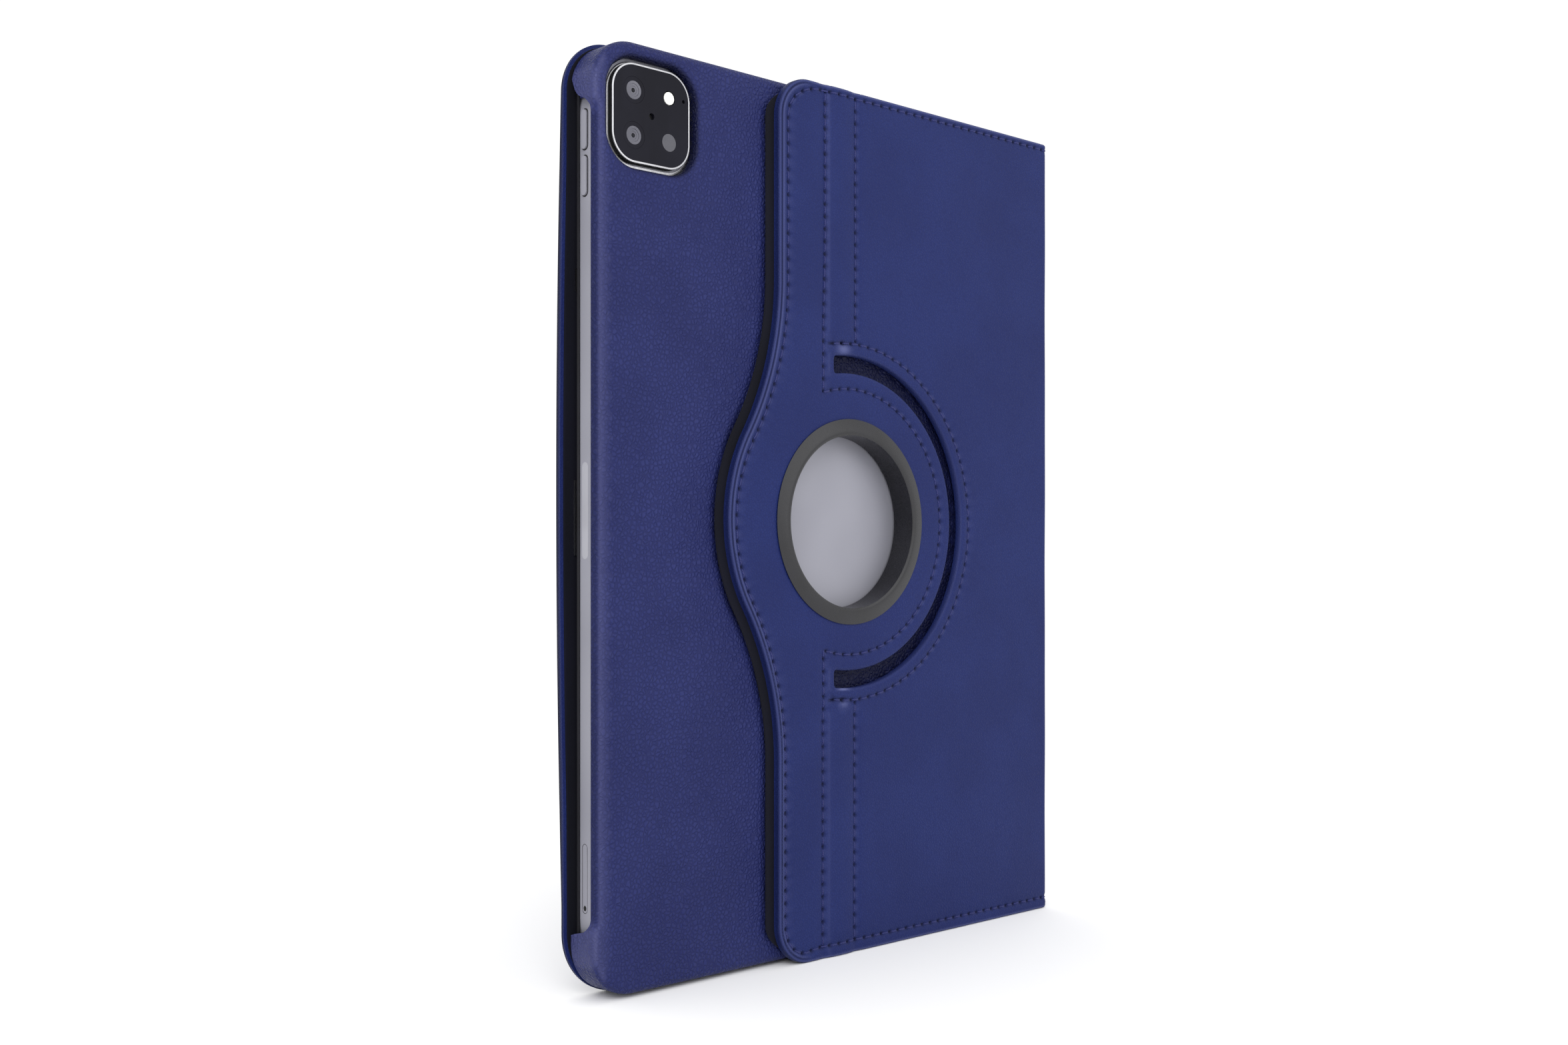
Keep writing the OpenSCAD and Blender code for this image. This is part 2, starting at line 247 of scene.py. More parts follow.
def thinned(points, kept, clear):
    """Those points that stay clear of the kept ones, found on a coarse raster."""
    taken = set()
    reach = int(math.ceil(clear / 0.5))
    for x, z in np.round(kept / 0.5).astype(int):
        for i in range(-reach, reach + 1):
            for j in range(-reach, reach + 1):
                taken.add((x + i, z + j))
    cells = np.round(points / 0.5).astype(int)
    free = [(x, z) not in taken for x, z in cells]
    return points[np.array(free, bool)]


def triangulated(outline, holes, features, grid):
    """Triangles over an outline with holes. Returns the points and faces, outline and holes first."""
    loops = [outline] + holes
    edges = []
    first = 0
    for loop in loops:
        count = len(loop)
        edges += [(first + i, first + (i + 1) % count) for i in range(count)]
        first += count
    fixed = np.vstack(loops)
    extra = grid
    if len(features):
        extra = np.vstack([features, thinned(grid, np.vstack([fixed, features]), 0.9)])
    keep = inside(extra, outline)
    for hole in holes:
        keep &= ~inside(extra, hole)
    points = np.vstack([fixed, extra[keep]])
    found = delaunay_2d_cdt([Vector(p) for p in points], edges, [], 0, 1e-5, True)
    where = np.array([tuple(p) for p in found[0]])
    triangles = np.array([f for f in found[2] if len(f) == 3])
    middle = where[triangles].mean(axis=1)
    good = inside(middle, outline)
    for hole in holes:
        good &= ~inside(middle, hole)
    origin = {}
    for new, olds in enumerate(found[3]):
        for old in olds:
            origin[old] = new
    loop_ids = []
    first = 0
    for loop in loops:
        loop_ids.append([origin[first + i] for i in range(len(loop))])
        first += len(loop)
    return where, triangles[good], loop_ids


# ---------------------------------------------------------------- the folded leather


def turned(points, depth):
    """Places flat leather on the case. It lies on the back, turns the corner and covers half the spine.

    The first coordinate runs along the leather and the depth goes into the case.
    """
    u, z = points[:, 0], points[:, 1]
    turn_start = SPINE_X - TURN_R
    turn_length = TURN_R * math.pi / 2
    angle = np.clip((u - turn_start) / TURN_R, 0, math.pi / 2)
    r = TURN_R - depth
    beyond = np.maximum(u - turn_start - turn_length, 0)
    x = np.where(u < turn_start, u, turn_start + r * np.sin(angle))
    y = BACK_Y + TURN_R - r * np.cos(angle) + beyond
    return np.column_stack([x, y, AXIS_Z + z])


def mirrored_front(points):
    """The back's places turned over to the front of the case."""
    made = points.copy()
    made[:, 1] = 2 * MIDDLE_Y - made[:, 1]
    return made


SEAM_U = SPINE_X - TURN_R + TURN_R * math.pi / 2 + (MIDDLE_Y - BACK_Y - TURN_R)


def flap_side():
    """The flap's left edge from top to bottom, with its corners and the bulge round the ring."""
    centre_x = FLAP_REACH + SWEEP_R
    sweep_z = math.sqrt((BULGE_R + SWEEP_R) ** 2 - centre_x**2)
    turn = math.degrees(math.atan2(sweep_z, centre_x))
    corner_x = FLAP_CORNER_R - FLAP_REACH
    corner_z = HALF_H - FLAP_CORNER_R
    return joined(
        arc((corner_x, corner_z), FLAP_CORNER_R, 90, 180),
        line((-FLAP_REACH, corner_z), (-FLAP_REACH, sweep_z)),
        arc((-centre_x, sweep_z), SWEEP_R, 0, -turn),
        arc((0, 0), BULGE_R, 180 - turn, 180 + turn),
        arc((-centre_x, -sweep_z), SWEEP_R, turn, 0),
        line((-FLAP_REACH, -sweep_z), (-FLAP_REACH, -corner_z)),
        arc((corner_x, -corner_z), FLAP_CORNER_R, 180, 270),
    )


def back_edge():
    """The back leather's free edge, from the seam on the spine round the flap and back."""
    corner_x = FLAP_CORNER_R - FLAP_REACH
    path = joined(
        line((SEAM_U, HALF_H), (corner_x, HALF_H)),
        flap_side(),
        line((corner_x, -HALF_H), (SEAM_U, -HALF_H)),
    )
    return resampled(path, 1.0)


def slot_loop():
    """The curved slot, anticlockwise, with slightly rounded ends."""
    outer = math.degrees(math.acos(SLOT_END_X / SLOT_R))
    inner = math.degrees(math.acos(SLOT_END_X / DISC_R))
    loop = joined(
        arc((0, 0), SLOT_R, -outer, outer, 0.6),
        line(
            (SLOT_END_X, math.sqrt(SLOT_R**2 - SLOT_END_X**2)),
            (SLOT_END_X, math.sqrt(DISC_R**2 - SLOT_END_X**2)),
            0.6,
        ),
        arc((0, 0), DISC_R, inner, -inner, 0.6),
        line(
            (SLOT_END_X, -math.sqrt(DISC_R**2 - SLOT_END_X**2)),
            (SLOT_END_X, -math.sqrt(SLOT_R**2 - SLOT_END_X**2)),
            0.6,
        ),
    )
    return softened(loop[:-1], 4)


def fold_seam(side, z):
    """Where the fold's sewing lines run: on the flap's side (-1) or on the panel's side (1)."""
    if side < 0:
        return -11.5 + 0.85 * smooth_step(z, 40, 85)
    return 1.55 + 0.35 * smooth_step(z, -20, 50)


def seam_line(side, start, end):
    z = np.linspace(start, end, 60)
    return np.column_stack([fold_seam(side, z), z])


def stitch_paths_back():
    """The sewing lines of the back cover."""
    edge = back_edge()
    normals = left_normals(edge)
    far_left = smooth_step(-edge[:, 0], 12, 24)
    upward = smooth_step(edge[:, 1], -60, 60)
    inset = (3.6 - 1.5 * upward) * (1 - far_left) + (2.5 + 1.2 * upward) * far_left
    border = edge + normals * inset[:, None]
    inner_r = 39.2
    outer_r = 52.6
    top = HALF_H - 2.1
    bottom = HALF_H - 3.6
    corner_x = fold_seam(-1, 0)
    inner_turn = math.degrees(math.acos(corner_x / inner_r))
    inner_z = inner_r * math.sin(math.radians(inner_turn))
    outer_turn = math.degrees(math.acos(-7.4 / outer_r))
    left_line = joined(
        seam_line(-1, top, inner_z),
        arc((0, 0), inner_r, inner_turn, -inner_turn),
        seam_line(-1, -inner_z, -bottom),
    )
    right_top = seam_line(1, top, outer_r + 0.8)
    right_bottom = seam_line(1, -outer_r - 0.8, -bottom)
    curve = arc((0, 0), outer_r, outer_turn, -outer_turn)
    return [border, left_line, right_top, right_bottom, curve]


def along_stitches(points, paths, reach, length):
    """How near each point is to a needle hole, and how far it is from the sewing lines.

    The first is 1 in a hole and falls away over the reach across the line and the length along it.
    """
    holes = np.zeros(len(points))
    nearest = np.full(len(points), 1e9)
    for path in paths:
        distance, along = path_distance(points, path)
        count = max(1, round(path_length(path) / STITCH_PITCH))
        pitch = path_length(path) / count
        phase = np.abs((along / pitch + 0.5) % 1 - 0.5) * pitch
        holes = np.maximum(holes, bell(np.hypot(distance / reach, phase / length), 1))
        nearest = np.minimum(nearest, distance)
    return holes, nearest


def stitched_relief(points, paths, depth=0.22, width=0.8):
    """How far the leather is drawn in along the sewing lines, deepest at the needle holes."""
    holes, distance = along_stitches(points, paths, 0.42, 0.58)
    return depth * bell(distance, width) + 0.6 * holes


def hole_shade(points, paths):
    """Painted shade in the needle holes."""
    return along_stitches(points, paths, 0.54, 0.74)[0]


def pucker_highlights(points, paths):
    """Painted highlights beside the sewing lines, between the needle holes, where puckers catch the light."""
    moved = points - np.array((0.8, 0))
    holes, distance = along_stitches(moved, paths, 1.2, 0.9)
    return bell(distance, 0.3) * (1 - holes)


def path_length(path):
    return float(np.linalg.norm(np.diff(path, axis=0), axis=1).sum())


def rounded_edge(distance, r):
    """Height of a surface that rounds over by r at its edge."""
    d = np.clip(distance, 0, r)
    return np.sqrt(np.maximum(r * r - (r - d) ** 2, 0)) - r


def stitch_features(paths):
    """Points beside the sewing lines, so that their grooves have shape."""
    made = []
    for path in paths:
        count = max(1, round(path_length(path) / STITCH_PITCH))
        fine = resampled(path, path_length(path) / (count * 4))
        normals = left_normals(fine)
        for offset in (-1.1, -0.6, -0.28, 0, 0.28, 0.6, 1.1):
            made.append(fine + normals * offset)
    return np.vstack(made)


EDGE_R = 0.9
EDGE_RINGS = (0.05, 0.16, 0.32, 0.55, 0.8, 0.98, 1.15, 1.32, 1.6, 2.0, 2.5)
FRONT_RINGS = (0.06, 0.2, 0.45, 0.9, 1.5, 2.1)


def undulation(points, seed):
    """A slow, slight unevenness, as soft material over a board has."""
    x, z = points[:, 0], points[:, 1]
    return 0.06 * (
        np.sin(x / 17 + seed) * np.cos(z / 23 + 2 * seed)
        + 0.6 * np.sin(x / 9 + z / 13 + 3 * seed)
        + 0.4 * np.cos(z / 6.5 - x / 11 + seed)
    )


def oval(x, z, middle, half_x, half_z):
    """1 at the middle of an oval, falling away over its half sizes."""
    return bell(np.hypot((x - middle[0]) / half_x, (z - middle[1]) / half_z), 1)


def slot_dents(x, z):
    """The pressed-in places beside the ends of the slot, where the sewing starts."""
    return oval(x, z, (-3.2, 52.5), 2.4, 0.5) + oval(x, z, (-4.1, -52.2), 2.4, 0.5)


def back_ground(points, edge, slot, ring):
    """Height of the back leather above its flat plane, before it is sewn."""
    to_edge, _ = path_distance(points, edge)
    to_slot, _ = path_distance(points, np.vstack([slot, slot[:1]]))
    to_ring, _ = path_distance(points, np.vstack([ring, ring[:1]]))
    height = rounded_edge(np.minimum(to_edge, to_slot), EDGE_R)
    height += rounded_edge(to_ring, 0.4)
    puff = np.clip(to_edge / 3.4, 0, 1)
    height += 0.16 * np.sin(math.pi * puff) * (to_edge < 3.4)
    slot_puff = np.clip(to_slot / 4.2, 0, 1)
    height += 0.12 * np.sin(math.pi * slot_puff) * (to_slot < 4.2)
    x, z = points[:, 0], points[:, 1]
    beyond_slot = smooth_step(np.abs(z), 52, 58)
    for valley_x in (FOLD_LEFT, FOLD_RIGHT):
        height -= 0.3 * bell(x - valley_x, 1.7) * beyond_slot
    middle = (FOLD_LEFT + FOLD_RIGHT) / 2
    half = (FOLD_RIGHT - FOLD_LEFT) / 2
    across = np.clip((x - middle) / half, -1, 1)
    height += 0.35 * (1 - across**2) * beyond_slot
    height -= 0.35 * slot_dents(x, z)
    height -= 0.22 * bell(to_edge - 1.15, 0.28) * smooth_step(-x, 14, 24)
    height += undulation(points, 0.7) * smooth_step(to_edge, 0, 8)
    return height


def closed_leather(name, outline, holes, features, height_of, wall_of, place, material, step):
    """A closed solid of leather: a worked outer face, side walls and a plain inner face."""
    grid = grid_points(outline.min(axis=0), outline.max(axis=0), step)
    where, triangles, loop_ids = triangulated(outline, holes, features, grid)
    heights = height_of(where)
    outer = place(where, -heights)
    coarse = grid_points(outline.min(axis=0), outline.max(axis=0), 2.5 * step)
    coarse = thinned(coarse, np.vstack([outline] + holes), 1.5)
    inner_where, inner_triangles, inner_ids = triangulated(outline, holes, np.zeros((0, 2)), coarse)
    inner = place(inner_where, wall_of(inner_where))
    points = [outer, inner]
    faces = orient(triangles, where)
    base = len(outer)
    faces += [tuple(base + i for i in reversed(f)) for f in orient(inner_triangles, inner_where)]
    for ids, inner_loop, is_hole in zip(loop_ids, inner_ids, [False] + [True] * len(holes)):
        count = len(ids)
        for i in range(count):
            a, b = ids[i], ids[(i + 1) % count]
            c, d = base + inner_loop[(i + 1) % count], base + inner_loop[i]
            faces.append((b, a, d, c))
    made = make_object(name, np.vstack(points), faces, material)
    fix_normals(made)
    sharpen(made, 50)
    return made, where, heights


def orient(triangles, where):
    """Triangles as tuples, all wound the same way."""
    a, b, c = where[triangles[:, 0]], where[triangles[:, 1]], where[triangles[:, 2]]
    area = (b[:, 0] - a[:, 0]) * (c[:, 1] - a[:, 1]) - (c[:, 0] - a[:, 0]) * (b[:, 1] - a[:, 1])
    return [tuple(t) if s > 0 else tuple(t[::-1]) for t, s in zip(triangles.tolist(), area)]


def fix_normals(made):
    """Makes every face look outwards."""
    work = bmesh.new()
    work.from_mesh(made.data)
    bmesh.ops.recalc_face_normals(work, faces=work.faces)
    work.to_mesh(made.data)
    work.free()


def lathe(name, profile, centre, material, segments=96, closed=True):
    """A turned solid about an axis along Y. The profile is a list of radius and Y, in millimetres."""
    angles = np.linspace(0, 2 * math.pi, segments, endpoint=False)
    points = []
    for r, y in profile:
        points += [(centre[0] + r * math.cos(a), y, centre[1] + r * math.sin(a)) for a in angles]
    faces = []
    rows = len(profile)
    for row in range(rows if closed else rows - 1):
        after = (row + 1) % rows
        for i in range(segments):
            j = (i + 1) % segments
            faces.append((row * segments + i, row * segments + j, after * segments + j, after * segments + i))
    if not closed:
        faces.append(tuple(range(segments)))
        faces.append(tuple((rows - 1) * segments + i for i in reversed(range(segments))))
    made = make_object(name, points, faces, material)
    fix_normals(made)
    sharpen(made, 35)
    return made


def rounded_profile(corners, r, steps=4):
    """A closed profile with each corner rounded by r, or by its own third value."""
    made = []
    count = len(corners)
    for i, corner in enumerate(corners):
        here = np.array(corner[:2], float)
        radius = corner[2] if len(corner) > 2 else r
        before = np.array(corners[i - 1][:2], float) - here
        after = np.array(corners[(i + 1) % count][:2], float) - here
        reach = min(radius, np.linalg.norm(before) * 0.45, np.linalg.norm(after) * 0.45)
        if radius == 0:
            made.append(tuple(here))
            continue
        first = here + before / np.linalg.norm(before) * reach
        last = here + after / np.linalg.norm(after) * reach
        for t in np.linspace(0, 1, steps + 1):
            made.append(tuple((1 - t) ** 2 * first + 2 * t * (1 - t) * here + t * t * last))
    return made


def rounded_rect_loop(centre, w, h, r, step=0.8):
    """A rounded rectangle, anticlockwise."""
    x, z = w / 2 - r, h / 2 - r
    cx, cz = centre
    loop = joined(
        arc((cx + x, cz - z), r, -90, 0, step),
        line((cx + w / 2, cz - z), (cx + w / 2, cz + z), step),
        arc((cx + x, cz + z), r, 0, 90, step),
        line((cx + x, cz + h / 2), (cx - x, cz + h / 2), step),
        arc((cx - x, cz + z), r, 90, 180, step),
        line((cx - w / 2, cz + z), (cx - w / 2, cz - z), step),
        arc((cx - x, cz - z), r, 180, 270, step),
        line((cx - x, cz - h / 2), (cx + x, cz - h / 2), step),
    )
    return loop[:-1]


def circle_loop(r, step=0.8, centre=(0, 0)):
    return arc(centre, r, 0, 360, step)[:-1]


def prism(name, loop, across, low, high):
    """A solid with a 2D loop as its section, used to cut windows. across is the axis it runs along."""
    count = len(loop)
    points = []
    for level in (low, high):
        for a, b in loop:
            points.append({"X": (level, a, b), "Y": (a, level, b), "Z": (a, b, level)}[across])
    faces = [tuple(range(count)), tuple(range(2 * count - 1, count - 1, -1))]
    faces += [(i, count + i, count + (i + 1) % count, (i + 1) % count) for i in range(count)]
    made = make_object(name, points, faces, None, smooth=False)
    fix_normals(made)
    return made


def sewn(name, paths, place, ground, material, height=-0.24):
    """Thread stitches lying in their grooves, each one dipping into a needle hole at both ends.

    ground gives the leather's height under the stitches.
    """
    rings = 7
    sides = 6
    points = []
    faces = []
    for path in paths:
        length = path_length(path)
        count = max(1, round(length / STITCH_PITCH))
        pitch = length / count
        fine = resampled(path, 0.35)
        travelled = np.concatenate([[0], np.cumsum(np.linalg.norm(np.diff(fine, axis=0), axis=1))])
        normals = left_normals(fine)
        for i in range(count):
            at = (i + 0.5) * pitch + np.linspace(-0.41, 0.41, rings) * pitch
            centre = np.column_stack([np.interp(at, travelled, fine[:, k]) for k in (0, 1)])
            side = np.column_stack([np.interp(at, travelled, normals[:, k]) for k in (0, 1)])
            share = np.linspace(-1, 1, rings)
            level = ground(centre) + height - 0.6 * np.abs(share) ** 4
            radius = 0.27 * np.sqrt(1 - 0.75 * share**4)
            first = len(points)
            for ring in range(rings):
                for k in range(sides):
                    turn = 2 * math.pi * k / sides
                    flat = centre[ring] + side[ring] * radius[ring] * 1.1 * math.cos(turn)
                    points.append((flat[0], flat[1], -(level[ring] + radius[ring] * math.sin(turn))))
            for ring in range(rings - 1):
                for k in range(sides):
                    a = first + ring * sides + k
                    b = first + ring * sides + (k + 1) % sides
                    faces.append((a, b, b + sides, a + sides))
            faces.append(tuple(first + k for k in reversed(range(sides))))
            faces.append(tuple(first + (rings - 1) * sides + k for k in range(sides)))
    flat = np.array(points)
    made = make_object(name, place(flat[:, :2], flat[:, 2]), faces, material)
    fix_normals(made)
    return made


def paint(made, name, values):
    """Stores one number per point, which a material reads."""
    attribute = made.data.attributes.new(name, "FLOAT", "POINT")
    filled = np.zeros(len(made.data.vertices), np.float32)
    filled[: len(values)] = values
    attribute.data.foreach_set("value", filled)


# ---------------------------------------------------------------- materials


class Surface:
    """A Principled material whose parts come from procedural nodes."""

    def __init__(self, name, colour, roughness, metallic=0.0, specular=0.5):
        self.material = bpy.data.materials.new(name)
        self.material.use_nodes = True
        self.tree = self.material.node_tree
        self.shader = self.tree.nodes["Principled BSDF"]
        self.shader.inputs["Base Color"].default_value = (*colour, 1)
        self.shader.inputs["Roughness"].default_value = roughness
        self.shader.inputs["Metallic"].default_value = metallic
        self.shader.inputs["Specular IOR Level"].default_value = specular
        self.coordinate = self.node("ShaderNodeTexCoord").outputs["Object"]

    def node(self, kind, **settings):
        made = self.tree.nodes.new(kind)
        for key, value in settings.items():
            setattr(made, key, value)
        return made

    def link(self, source, target):
        self.tree.links.new(source, target)

    def noise(self, size_mm, detail=2.0, rough=0.5, vector=None):
        made = self.node("ShaderNodeTexNoise")
        made.inputs["Scale"].default_value = 1000 / size_mm
        made.inputs["Detail"].default_value = detail
        made.inputs["Roughness"].default_value = rough
        self.link(vector or self.coordinate, made.inputs["Vector"])
        return made.outputs["Fac"]

    def stretched(self, scale):
        made = self.node("ShaderNodeMapping")
        made.inputs["Scale"].default_value = scale
        self.link(self.coordinate, made.inputs["Vector"])
        return made.outputs["Vector"]

    def warped(self, size_mm, reach_mm):
        """The coordinate pushed about by noise, so that cells aren't straight-sided."""
        noise = self.node("ShaderNodeTexNoise")
        noise.inputs["Scale"].default_value = 1000 / size_mm
        noise.inputs["Detail"].default_value = 1.0
        self.link(self.coordinate, noise.inputs["Vector"])
        centred = self.node("ShaderNodeVectorMath", operation="SUBTRACT")
        centred.inputs[1].default_value = (0.5, 0.5, 0.5)
        self.link(noise.outputs["Color"], centred.inputs[0])
        scaled = self.node("ShaderNodeVectorMath", operation="SCALE")
        scaled.inputs["Scale"].default_value = reach_mm * MM
        self.link(centred.outputs[0], scaled.inputs[0])
        added = self.node("ShaderNodeVectorMath", operation="ADD")
        self.link(self.coordinate, added.inputs[0])
        self.link(scaled.outputs[0], added.inputs[1])
        return added.outputs[0]

    def cells(self, size_mm, vector=None, feature="DISTANCE_TO_EDGE"):
        made = self.node("ShaderNodeTexVoronoi", feature=feature)
        made.inputs["Scale"].default_value = 1000 / size_mm
        self.link(vector or self.coordinate, made.inputs["Vector"])
        return made.outputs["Distance"]

    def ranged(self, value, low, high, to_low=0.0, to_high=1.0):
        made = self.node("ShaderNodeMapRange", interpolation_type="SMOOTHSTEP")
        made.inputs["From Min"].default_value = low
        made.inputs["From Max"].default_value = high
        made.inputs["To Min"].default_value = to_low
        made.inputs["To Max"].default_value = to_high
        self.link(value, made.inputs["Value"])
        return made.outputs["Result"]

    def added(self, first, second, weight=1.0):
        made = self.node("ShaderNodeMath", operation="MULTIPLY_ADD")
        made.inputs[1].default_value = weight
        self.link(second, made.inputs[0])
        self.link(first, made.inputs[2])
        return made.outputs[0]

    def attribute(self, name):
        return self.node("ShaderNodeAttribute", attribute_name=name).outputs["Fac"]

    def blended(self, factor, first, second):
        """A colour between two, each a colour or another socket."""
        made = self.node("ShaderNodeMix", data_type="RGBA")
        self.link(factor, made.inputs["Factor"])
        for value, socket in ((first, made.inputs[6]), (second, made.inputs[7])):
            if isinstance(value, tuple):
                socket.default_value = (*value, 1)
            else:
                self.link(value, socket)
        return made.outputs[2]

    def bump(self, height, distance_mm, strength=1.0):
        made = self.node("ShaderNodeBump")
        made.inputs["Strength"].default_value = strength
        made.inputs["Distance"].default_value = distance_mm * MM
        self.link(height, made.inputs["Height"])
        self.link(made.outputs["Normal"], self.shader.inputs["Normal"])

    def colour(self, socket):
        self.link(socket, self.shader.inputs["Base Color"])

    def roughness(self, socket):
        self.link(socket, self.shader.inputs["Roughness"])


def linear(red, green, blue):
    """A colour for a shader from the 0 to 255 numbers of a screen."""
    made = []
    for value in (red, green, blue):
        share = value / 255
        made.append(share / 12.92 if share <= 0.04045 else ((share + 0.055) / 1.055) ** 2.4)
    return tuple(made)


def leather(name, main, crease, highlight_colour, deep, grain_mm, grain_depth, gloss, mottle=0.35):
    """Coated leather: domed grain with painted shade in its creases, slow colour changes, and painted
    highlights and painted shade read from point attributes.
    """
    made = Surface(name, main, gloss, specular=0.12)
    warped = made.warped(grain_mm * 2.2, grain_mm * 0.9)
    cells = made.cells(grain_mm, warped)
    domes = made.ranged(cells, 0.0, 0.32)
    pores = made.noise(grain_mm * 0.3, detail=3.0)
    patches = made.noise(26, detail=3.0)
    shade = made.blended(made.ranged(patches, 0.35, 0.65, 0, mottle), main, crease)
    # Painted shade: the grain's creases are darkened
    shade = made.blended(made.ranged(domes, 0.0, 0.5, 0.5, 0.0), shade, crease)
    # Painted highlights, read from a point attribute
    shade = made.blended(made.attribute("painted_highlight"), shade, highlight_colour)
    # Painted shade, read from a point attribute
    shade = made.blended(made.attribute("shade"), shade, deep)
    made.colour(shade)
    made.roughness(made.ranged(pores, 0.3, 0.7, gloss - 0.06, gloss + 0.08))
    made.bump(made.added(domes, pores, 0.35), grain_depth)
    return made.material


def moulded(name, colour, lighter, gloss, texture_mm=0.18, depth=0.01, specular=0.5):
    """Moulded plastic with a fine spark-eroded texture."""
    made = Surface(name, colour, gloss, specular=specular)
    fine = made.noise(texture_mm, detail=2.0)
    slow = made.noise(9, detail=2.0)
    made.colour(made.blended(made.ranged(slow, 0.3, 0.7), colour, lighter))
    made.roughness(made.ranged(fine, 0.3, 0.7, gloss - 0.05, gloss + 0.06))
    made.bump(fine, depth)
    return made.material


def metal(name, colour, lighter, gloss, grain_mm=0.12, depth=0.004, metallic=1.0):
    """Blasted or polished metal. A lower metallic share gives the flat look of anodised metal."""
    made = Surface(name, colour, gloss, metallic=metallic)
    grain = made.noise(grain_mm, detail=2.0)
    slow = made.noise(30, detail=1.0)
    made.colour(made.blended(made.ranged(slow, 0.35, 0.65), colour, lighter))
    made.roughness(made.ranged(grain, 0.3, 0.7, gloss - 0.05, gloss + 0.07))
    made.bump(grain, depth)
    return made.material


def cloth(name, colour, lighter, pile_mm=0.25, depth=0.05):
    """Short-pile microfibre with a soft sheen and faint brushed patches."""
    made = Surface(name, colour, 0.9, specular=0.15)
    pile = made.noise(pile_mm, detail=4.0, rough=0.7)
    swept = made.noise(14, detail=3.0, vector=made.stretched((1, 1, 0.35)))
    shade = made.blended(made.ranged(swept, 0.35, 0.65), colour, lighter)
    made.colour(made.blended(made.ranged(pile, 0.35, 0.75, 0, 0.5), shade, lighter))
    made.bump(pile, depth)
    made.shader.inputs["Sheen Weight"].default_value = 0.05
    made.shader.inputs["Sheen Roughness"].default_value = 0.5
    return made.material


def twisted_thread(name, colour, lighter):
    """Polyester thread: fine twisted filaments across its length."""
    made = Surface(name, colour, 0.55, specular=0.3)
    twist = made.node("ShaderNodeTexWave", wave_type="BANDS", bands_direction="DIAGONAL")
    twist.inputs["Scale"].default_value = 1000 / 0.9
    twist.inputs["Distortion"].default_value = 1.5
    made.link(made.coordinate, twist.inputs["Vector"])
    made.colour(made.blended(twist.outputs["Fac"], colour, lighter))
    made.bump(twist.outputs["Fac"], 0.05)
    return made.material


def glossy_glass(name, colour, gloss, tint, specular=0.18):
    """Dark polished glass over a coloured layer, with barely visible smears."""
    made = Surface(name, colour, gloss, specular=specular)
    smears = made.noise(12, detail=4.0, rough=0.6, vector=made.stretched((1, 1, 0.4)))
    made.colour(made.blended(made.ranged(smears, 0.4, 0.7), colour, tint))
    made.roughness(made.ranged(smears, 0.35, 0.7, gloss, gloss + 0.05))
    return made.material


NAVY = linear(29, 40, 92)
NAVY_DARK = linear(20, 28, 74)
# Painted highlight colour of the cover leather
NAVY_HIGHLIGHT = linear(98, 104, 150)
# Painted shade colour of all the leathers
NAVY_DEEP = linear(6, 8, 32)
TRAY_NAVY = linear(39, 45, 94)
TRAY_DARK = linear(21, 25, 68)
# Painted highlight colour of the tray leather
TRAY_HIGHLIGHT = linear(88, 90, 130)
# Colour of the lighter tray leather that gives the rounded window edges a painted highlight
TRAY_EDGE_HIGHLIGHT = linear(90, 94, 122)

cover_leather = leather("CoverLeather", NAVY, NAVY_DARK, NAVY_HIGHLIGHT, NAVY_DEEP, 0.75, 0.05, 0.5)
tray_leather = leather("TrayLeather", TRAY_NAVY, TRAY_DARK, TRAY_HIGHLIGHT, NAVY_DEEP, 1.25, 0.2, 0.42, 0.3)
# A lighter copy of the tray leather: painted highlight on the rounded window edges
tray_edge_highlight = leather("TrayEdgeHighlight", TRAY_EDGE_HIGHLIGHT, TRAY_NAVY, TRAY_EDGE_HIGHLIGHT, NAVY_DEEP, 1.25, 0.05, 0.45, 0.2)
thread = twisted_thread("Thread", linear(24, 29, 78), linear(44, 50, 108))
# Near-black, so that the gaps where the lining shows read as shade: painted shade
lining = cloth("LiningCloth", linear(5, 6, 16), linear(9, 10, 24))
# Dark felt, which also fills the camera window's gap as painted shade
felt = cloth("Felt", linear(10, 11, 20), linear(20, 21, 34), 0.35, 0.08)
ring_plastic = moulded("RingPlastic", linear(10, 10, 16), linear(15, 15, 22), 0.3, specular=0.5)
lip_plastic = moulded("LipPlastic", linear(12, 12, 18), linear(18, 18, 26), 0.55)
hidden_plastic = moulded("HiddenPlastic", linear(40, 40, 44), linear(52, 52, 56), 0.5)
aluminium = metal("BlastedAluminium", linear(138, 138, 148), linear(145, 145, 155), 0.5, metallic=0.25)
polished_rim = metal("PolishedRim", linear(176, 176, 180), linear(190, 190, 194), 0.4, 0.5, 0.002)
steel = metal("SocketSteel", linear(120, 120, 126), linear(140, 140, 146), 0.35, 0.2, 0.003)
camera_plate = glossy_glass("CameraPlate", linear(22, 22, 29), 0.2, linear(26, 26, 34), 0.06)
screen = glossy_glass("ScreenGlass", linear(10, 10, 13), 0.06, linear(14, 14, 18))
lens_glass = glossy_glass("LensGlass", linear(8, 9, 14), 0.03, linear(14, 16, 26))
lens_ring = metal("LensRing", linear(92, 92, 100), linear(104, 104, 112), 0.4, 0.3, 0.002)
sensor_plastic = moulded("SensorPlastic", linear(66, 66, 74), linear(76, 76, 84), 0.4)
flash_plastic = moulded("FlashPlastic", linear(214, 214, 210), linear(226, 226, 222), 0.3, 0.4, 0.01)
pad_plastic = moulded("PadPlastic", linear(150, 150, 158), linear(158, 158, 166), 0.35)
black_paint = moulded("BlackPaint", linear(6, 6, 8), linear(12, 12, 14), 0.6)

# ---------------------------------------------------------------- back cover leather

